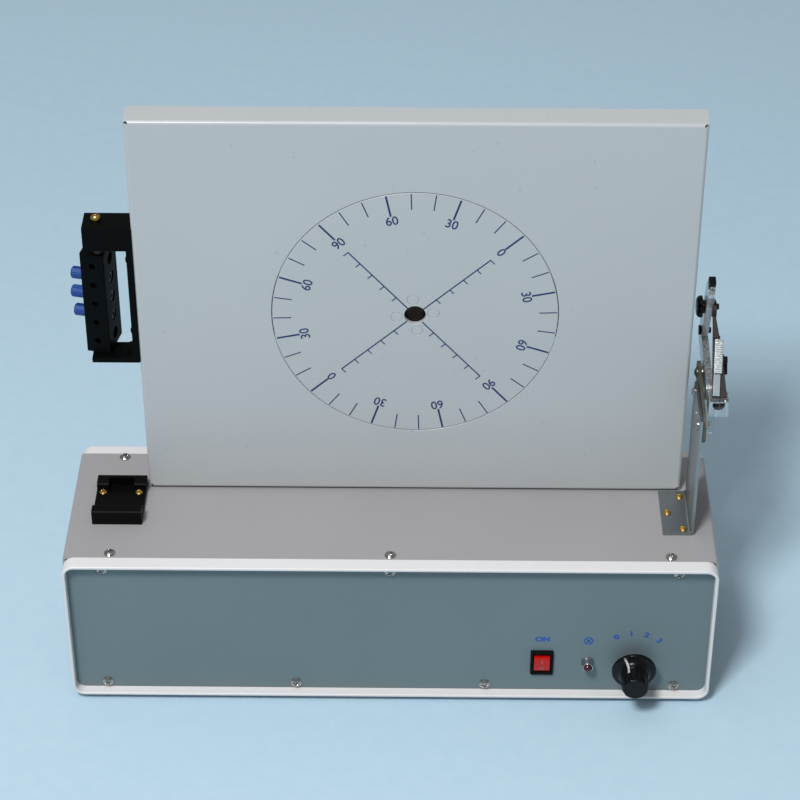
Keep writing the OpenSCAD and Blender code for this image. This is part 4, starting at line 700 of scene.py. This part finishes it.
# Turned brass has a warm, fairly bright surface, broken up by fine tool marks.
brass, tree, place = begin_material("turned_brass")
rings = add_node(tree, "ShaderNodeTexNoise", {"Vector": place, "Scale": 900, "Detail": 3})
tone = add_node(tree, "ShaderNodeMix", {
    0: rings.outputs["Fac"], 6: linear("#b98f45"), 7: linear("#dcb869"),
}, data_type="RGBA")
gloss = add_node(tree, "ShaderNodeMapRange", {0: rings.outputs["Fac"], 3: 0.16, 4: 0.3})
end_material(tree, {
    "Base Color": tone.outputs[2], "Metallic": 1.0, "Roughness": gloss.outputs[0],
})
finish_part("dial_bearing", brass)

# Rolled sheet keeps fine upright streaks, which blur what it mirrors along one direction.
aluminium, tree, place = begin_material("satin_rolled_aluminium")
rolled = add_node(tree, "ShaderNodeTexNoise", {
    "Vector": add_node(tree, "ShaderNodeMapping", {
        "Vector": place, "Scale": (900, 900, 45)}).outputs[0],
    "Scale": 1.0, "Detail": 4})
gloss = add_node(tree, "ShaderNodeMapRange", {0: rolled.outputs["Fac"], 3: 0.26, 4: 0.46})
tone = add_node(tree, "ShaderNodeMix", {
    0: rolled.outputs["Fac"], 6: linear("#83898c"), 7: linear("#a9aeb0"),
}, data_type="RGBA")
relief = add_node(tree, "ShaderNodeBump", {
    "Height": rolled.outputs["Fac"], "Strength": 0.2, "Distance": 0.03 * MM,
})
end_material(tree, {
    "Base Color": tone.outputs[2], "Metallic": 1.0, "Roughness": gloss.outputs[0],
    "Normal": relief.outputs[0],
})
finish_part("dial_strut", aluminium, width=0.3 * MM)

# The laser bracket and its swivelling bar are milled aluminium, anodised matt black, with edges
# broken by hand. Brass screws hold the bracket, and the bar turns on two brass-plated steel pivots.
black_anodised, tree, place = begin_material("black_anodised_aluminium")
milled = add_node(tree, "ShaderNodeTexNoise", {
    "Vector": add_node(tree, "ShaderNodeMapping", {
        "Vector": place, "Scale": (1200, 1200, 60)}).outputs[0],
    "Scale": 1.0, "Detail": 3})
tone = add_node(tree, "ShaderNodeMix", {
    0: milled.outputs["Fac"], 6: linear("#020303"), 7: linear("#050607"),
}, data_type="RGBA")
gloss = add_node(tree, "ShaderNodeMapRange", {0: milled.outputs["Fac"], 3: 0.46, 4: 0.62})
relief = add_node(tree, "ShaderNodeBump", {
    "Height": milled.outputs["Fac"], "Strength": 0.2, "Distance": 0.03 * MM,
})
end_material(tree, {
    "Base Color": tone.outputs[2], "Roughness": gloss.outputs[0], "Specular IOR Level": 0.07,
    "Normal": relief.outputs[0],
})
finish_part("laser_bracket", black_anodised, width=0.4 * MM)
finish_part("laser_bar", black_anodised, width=0.25 * MM)
finish_part("laser_bracket_screws", brass)
finish_part("laser_pivots", brass)
finish_part("pivot_rings", blackened)

# Three laser modules sit in the bar: blackened barrels held by small grub screws, each with a
# blue plastic cap on its rear end, moulded with ribs a millimetre apart.
finish_part("laser_modules", blackened)
finish_part("module_screws", blackened)
blue_cap, tree, place = begin_material("blue_moulded_polypropylene")
flute = add_node(tree, "ShaderNodeTexWave", {
    "Vector": place, "Scale": 300, "Distortion": 0.3,
}, wave_type="BANDS", bands_direction="Z")
tone = add_node(tree, "ShaderNodeMix", {
    0: flute.outputs["Fac"], 6: linear("#123069"), 7: linear("#24509c"),
}, data_type="RGBA")
relief = add_node(tree, "ShaderNodeBump", {
    "Height": flute.outputs["Fac"], "Strength": 0.5, "Distance": 0.15 * MM,
})
end_material(tree, {
    "Base Color": tone.outputs[2], "Roughness": 0.5, "Specular IOR Level": 0.3,
    "Normal": relief.outputs[0],
})
finish_part("module_caps", blue_cap)

# The accessory seat is a black nylon moulding with a cross channel, fixed by two brass screws
# with small heads. Three more hold the side bracket's foot.
HEAD_SHARE = 0.82


def narrow_heads(shape):
    for solid in loose_solids(shape):
        middle = sum((v.co for v in solid), Vector()) / len(solid)
        for v in solid:
            v.co.x = middle.x + HEAD_SHARE * (v.co.x - middle.x)
            v.co.z = middle.z + HEAD_SHARE * (v.co.z - middle.z)


finish_part("accessory_seat", black_nylon, width=0.5 * MM)
finish_part("accessory_screws", brass, reshape=narrow_heads)

# The side bracket is thick aluminium sheet, folded once. Its foot is screwed to the cover and
# its upright carries the mirror unit.
finish_part("side_bracket", aluminium, width=0.25 * MM)

# The swing arm is a steel link in a dark olive conversion coat, stained paler in places. It
# swings on its upper screw, and a lock screw in its slot holds it. Both are nickel-plated.
olive_coat, tree, place = begin_material("olive_conversion_coat_on_steel")
stain = add_node(tree, "ShaderNodeTexNoise", {"Vector": place, "Scale": 120, "Detail": 4})
tone = add_node(tree, "ShaderNodeMix", {
    0: stain.outputs["Fac"], 6: linear("#2a261a"), 7: linear("#67665a"),
}, data_type="RGBA")
gloss = add_node(tree, "ShaderNodeMapRange", {0: stain.outputs["Fac"], 3: 0.4, 4: 0.6})
end_material(tree, {
    "Base Color": tone.outputs[2], "Metallic": 0.25, "Roughness": gloss.outputs[0],
})
finish_part("swing_arm", olive_coat, width=0.25 * MM)
finish_part("arm_screws", nickel)
finish_part("mirror_pivot", nickel)

# The mirror arm is sawn from aluminium plate and turns on its pivot screw. Its upper leg ends
# 17 mm lower than the solid's, and its lower leg has fine ribs across its top edge.
UPPER_LEG_CUT = 17.1 * MM
ABOVE_THE_KNOB = 50 * MM
RIBS, FIRST_RIB, RIB_PITCH, RIB_RISE = 27, 10 * MM, 1.5 * MM, 0.35 * MM
CORNER_BEHIND_PIVOT, CORNER_ABOVE_PIVOT = 29.5 * MM, 9.7 * MM
arm_low, arm_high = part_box("mirror_arm")
arm_middle_x = (arm_low.x + arm_high.x) / 2
pivot_spot = sum(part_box("mirror_pivot"), Vector()) / 2
knob_spot = sum(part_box("clamp_knob"), Vector()) / 2
arm_corner = Vector((
    arm_middle_x, pivot_spot.y + CORNER_BEHIND_PIVOT, pivot_spot.z + CORNER_ABOVE_PIVOT))
leg_lean = math.atan2(arm_corner.y - knob_spot.y, knob_spot.z - arm_corner.z)
leg_frame = Matrix.Translation(arm_corner) @ Matrix.Rotation(leg_lean, 4, "X")
to_leg = leg_frame.inverted()
leg_half = 6.5 * MM


def shorten_upper_leg(shape):
    drop = leg_frame.to_3x3() @ Vector((0, 0, -UPPER_LEG_CUT))
    for v in shape.verts:
        if (to_leg @ v.co).z > ABOVE_THE_KNOB:
            v.co += drop


# The saw and the file leave long streaks along the plate, bright beside dull.
bright_plate, tree, place = begin_material("bright_sawn_aluminium_plate")
streak = add_node(tree, "ShaderNodeTexNoise", {
    "Vector": add_node(tree, "ShaderNodeMapping", {
        "Vector": place, "Rotation": (leg_lean, 0, 0),
        "Scale": (900, 700, 40)}).outputs[0],
    "Scale": 1.0, "Detail": 4})
tone = add_node(tree, "ShaderNodeMix", {
    0: streak.outputs["Fac"], 6: linear("#747b7e"), 7: linear("#eff2f3"),
}, data_type="RGBA")
gloss = add_node(tree, "ShaderNodeMapRange", {0: streak.outputs["Fac"], 3: 0.2, 4: 0.42})
relief = add_node(tree, "ShaderNodeBump", {
    "Height": streak.outputs["Fac"], "Strength": 0.35, "Distance": 0.05 * MM,
})
end_material(tree, {
    "Base Color": tone.outputs[2], "Metallic": 0.9, "Roughness": gloss.outputs[0],
    "Normal": relief.outputs[0],
})
finish_part("mirror_arm", bright_plate, width=0.8 * MM, segments=3,
            reshape=shorten_upper_leg)
LOWER_LEG_SLOPE = math.radians(9.6)
along = Vector((0, -math.cos(LOWER_LEG_SLOPE), -math.sin(LOWER_LEG_SLOPE)))
outward = Vector((0, -math.sin(LOWER_LEG_SLOPE), math.cos(LOWER_LEG_SLOPE)))
ribs = bmesh.new()
for step in range(RIBS):
    spot = arm_corner + along * (FIRST_RIB + step * RIB_PITCH) + outward * (leg_half + RIB_RISE / 2)
    rib = bmesh.ops.create_cube(ribs, size=1)["verts"]
    bmesh.ops.transform(ribs, verts=rib, matrix=(
        Matrix.Translation(spot) @ Matrix.Rotation(LOWER_LEG_SLOPE, 4, "X")
        @ Matrix.Diagonal((arm_high.x - arm_low.x - 0.6 * MM, RIB_PITCH * 0.5, RIB_RISE * 1.4, 1))))
place_part("lower_leg_ribs", ribs, bright_plate, frame["nodes"]["mirror_arm"]["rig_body"])


# A small black phenolic block sits astride the upper leg's end and is held by a screw in its
# front face. The two screws of the lens block are of the same small kind.
SOLID_CAP = 5 * MM
CAP_SIZE = Vector((4.6, 6.2, 7.0)) * MM
CAP_OVERLAP = 0.9 * MM
SCREW_ABOVE_TIP = 2.0 * MM


def arm_end_frame(above, turn=0.0):
    """A frame on the middle of the upper leg, at a height along it, tipped about X."""
    return leg_frame @ Matrix.Translation((0, 0, above)) @ Matrix.Rotation(turn, 4, "X")


solid_tip = (to_leg @ (sum(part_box("arm_cap"), Vector()) / 2)).z + SOLID_CAP / 2
tip = solid_tip - SOLID_CAP - UPPER_LEG_CUT
cap = bmesh.new()
bmesh.ops.create_cube(cap, size=1)
bmesh.ops.transform(cap, verts=cap.verts[:], matrix=(
    arm_end_frame(tip + CAP_SIZE.z / 2 - CAP_OVERLAP) @ Matrix.Diagonal((*CAP_SIZE, 1))))
bmesh.ops.bevel(cap, geom=cap.edges[:], offset=0.7 * MM, segments=3, profile=0.5,
                affect="EDGES", material=-1, clamp_overlap=True)
place_part("arm_cap_finished", cap, phenolic,
           frame["nodes"]["arm_cap"]["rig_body"], ["arm_cap"])


def move_cap_screw(shape):
    front = arm_end_frame(tip + SCREW_ABOVE_TIP, math.radians(90))
    front = front @ Matrix.Translation((0, 0, CAP_SIZE.y / 2))
    moved = front @ arm_end_frame(solid_tip).inverted()
    for v in loose_solids(shape)[-1]:
        v.co = moved @ v.co


finish_part("holder_screws", nickel, reshape=move_cap_screw)


# The clamp knobs are turned black phenolic: a large one with a domed face and ten flutes in its
# rim, and a thin one beside the arm's corner.
KNOB_PROFILE = ((0.2, 0.0), (0.2, 4.3), (1.3, 4.4), (1.5, 7.1), (3.0, 7.1), (4.2, 6.6), (5.0, 5.6),
                (5.4, 4.2), (5.6, 2.2), (5.6, 0.0))
FLUTES, FLUTE_DEPTH, FLUTED_FROM, TURN_STEPS = 10, 0.13, 5, 120
CORNER_KNOB_CUT = 1.7 * MM
dome = bmesh.new()
turned = []
for step in range(TURN_STEPS):
    a = 2 * math.pi * step / TURN_STEPS
    flute = 1 - FLUTE_DEPTH * max(0.0, math.cos(FLUTES * a)) ** 3
    row = []
    for depth, radius in KNOB_PROFILE[1:-1]:
        reach = radius * MM * (flute if radius > FLUTED_FROM else 1.0)
        row.append(dome.verts.new((
            arm_low.x - depth * MM,
            knob_spot.y + reach * math.cos(a),
            knob_spot.z + reach * math.sin(a))))
    turned.append(row)
poles = [dome.verts.new((arm_low.x - KNOB_PROFILE[end][0] * MM, knob_spot.y, knob_spot.z))
         for end in (0, -1)]
for row, after in zip(turned, turned[1:] + turned[:1]):
    dome.faces.new((poles[0], row[0], after[0]))
    dome.faces.new((poles[1], after[-1], row[-1]))
    for k in range(len(row) - 1):
        dome.faces.new((row[k], row[k + 1], after[k + 1], after[k]))
bmesh.ops.recalc_face_normals(dome, faces=dome.faces[:])
place_part("clamp_knob_finished", dome, phenolic,
           frame["nodes"]["clamp_knob"]["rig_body"], ["clamp_knob"])


def thin_corner_knob(shape):
    for v in shape.verts:
        if v.co.x < arm_low.x - 1 * MM:
            v.co.x += CORNER_KNOB_CUT


finish_part("corner_knob", phenolic, width=0.35 * MM, reshape=thin_corner_knob)

# The mirror plate is bent from thin steel in a dark brown bronze finish. Two upturned prongs
# stop the foil strip at its upper end.
PRONG_PLACE, PRONG_THICKNESS = -19.5, 1.2
bronzed, tree, place = begin_material("dark_bronze_finish_on_steel")
bloom = add_node(tree, "ShaderNodeTexNoise", {"Vector": place, "Scale": 260, "Detail": 4})
tone = add_node(tree, "ShaderNodeMix", {
    0: bloom.outputs["Fac"], 6: linear("#15110e"), 7: linear("#2d2620"),
}, data_type="RGBA")
gloss = add_node(tree, "ShaderNodeMapRange", {0: bloom.outputs["Fac"], 3: 0.38, 4: 0.55})
end_material(tree, {
    "Base Color": tone.outputs[2], "Metallic": 0.4, "Roughness": gloss.outputs[0],
})
finish_part("mirror_plate", bronzed, width=0.2 * MM)
RAMP_SLOPE = math.radians(39.7)
ramp_high = Vector((arm_low.x + 2.7 * MM, knob_spot.y - 7 * MM, knob_spot.z + 2.6 * MM))
ramp_frame = Matrix.Translation(ramp_high) @ Matrix.Rotation(RAMP_SLOPE, 4, "X")
prongs = bmesh.new()
for left, width, rise in ((1.9, 3.6, 3.0), (1.9, 1.1, 4.4), (4.4, 1.1, 5.8)):
    bar = bmesh.ops.create_cube(prongs, size=1)["verts"]
    bmesh.ops.transform(prongs, verts=bar, matrix=(
        ramp_frame @ Matrix.Translation(Vector((left + width / 2, PRONG_PLACE, rise / 2)) * MM)
        @ Matrix.Diagonal((width * MM, PRONG_THICKNESS * MM, rise * MM, 1))))
place_part("strip_prongs", prongs, bronzed, frame["nodes"]["mirror_plate"]["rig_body"])


# The front-silvered mirror lies at the ramp's lower end. Above it lies a strip of silver foil
# on card, embossed with a fine wavy cross rib. A black lever clamps them.
def keep_lower(shape):
    bmesh.ops.delete(shape, geom=loose_solids(shape)[-1], context="VERTS")


def keep_upper(shape):
    bmesh.ops.delete(shape, geom=loose_solids(shape)[0], context="VERTS")


# The pale blue in the mirror's colour is painted reflection of a pale blue surround.
mirror, tree, place = begin_material("front_silvered_glass")
film = add_node(tree, "ShaderNodeTexNoise", {"Vector": place, "Scale": 130, "Detail": 3})
gloss = add_node(tree, "ShaderNodeMapRange", {0: film.outputs["Fac"], 3: 0.05, 4: 0.16})
tone = add_node(tree, "ShaderNodeMix", {
    0: film.outputs["Fac"], 6: linear("#c3dbe8"), 7: linear("#e8f1f5"),
}, data_type="RGBA")
end_material(tree, {
    "Base Color": tone.outputs[2], "Metallic": 0.75, "Roughness": gloss.outputs[0],
})
finish_part("mirror_glass", mirror, width=0.2 * MM, reshape=keep_lower,
            name="mirror_pane")

# The foil's ribs, 1.2 mm apart, glitter in turn as they face the light. That glitter is painted glint
# in the colour, as bands from dark grey to near white, and the same bands raise the ribs.
foil, tree, place = begin_material("embossed_silver_foil_on_card")
rib_relief_and_painted_glint = add_node(tree, "ShaderNodeTexWave", {
    "Vector": add_node(tree, "ShaderNodeMapping", {
        "Vector": place, "Rotation": (-RAMP_SLOPE, 0, 0)}).outputs[0],
    "Scale": 260, "Distortion": 5.0, "Detail Scale": 2.5,
}, wave_type="BANDS", bands_direction="Y")
tone = add_node(tree, "ShaderNodeMix", {
    0: rib_relief_and_painted_glint.outputs["Fac"], 6: linear("#7f8688"), 7: linear("#d9dedf"),
}, data_type="RGBA")
relief = add_node(tree, "ShaderNodeBump", {
    "Height": rib_relief_and_painted_glint.outputs["Fac"], "Strength": 0.6, "Distance": 0.12 * MM,
})
end_material(tree, {
    "Base Color": tone.outputs[2], "Metallic": 0.8, "Roughness": 0.34, "Normal": relief.outputs[0],
})
finish_part("mirror_glass", foil, width=0.3 * MM, reshape=keep_upper, name="foil_strip")
finish_part("clamp_lever", phenolic, width=0.3 * MM)

# The lens block at the arm's front end is cut from the same plate, round a dark half-round
# filter. A clear glass slide is held in a slot under it.
finish_part("lens_block", bright_plate, width=0.4 * MM)

# The filter is so dense a brown that only its polished face tells that it is glass.
dark_glass, tree, place = begin_material("dark_brown_filter_glass")
cloud = add_node(tree, "ShaderNodeTexNoise", {"Vector": place, "Scale": 200, "Detail": 2})
tone = add_node(tree, "ShaderNodeMix", {
    0: cloud.outputs["Fac"], 6: linear("#120c09"), 7: linear("#21160f"),
}, data_type="RGBA")
end_material(tree, {"Base Color": tone.outputs[2], "Roughness": 0.08})
finish_part("block_lens", dark_glass)

# The slide is clear, with smears on it that soften what it mirrors.
clear_glass, tree, place = begin_material("clear_optical_glass")
smear = add_node(tree, "ShaderNodeTexNoise", {"Vector": place, "Scale": 90, "Detail": 3})
gloss = add_node(tree, "ShaderNodeMapRange", {0: smear.outputs["Fac"], 3: 0.02, 4: 0.14})
end_material(tree, {
    "Base Color": linear("#dbe9ea"), "Roughness": gloss.outputs[0], "IOR": 1.5,
    "Transmission Weight": 0.9,
})
finish_part("glass_slide", clear_glass, width=0.15 * MM)
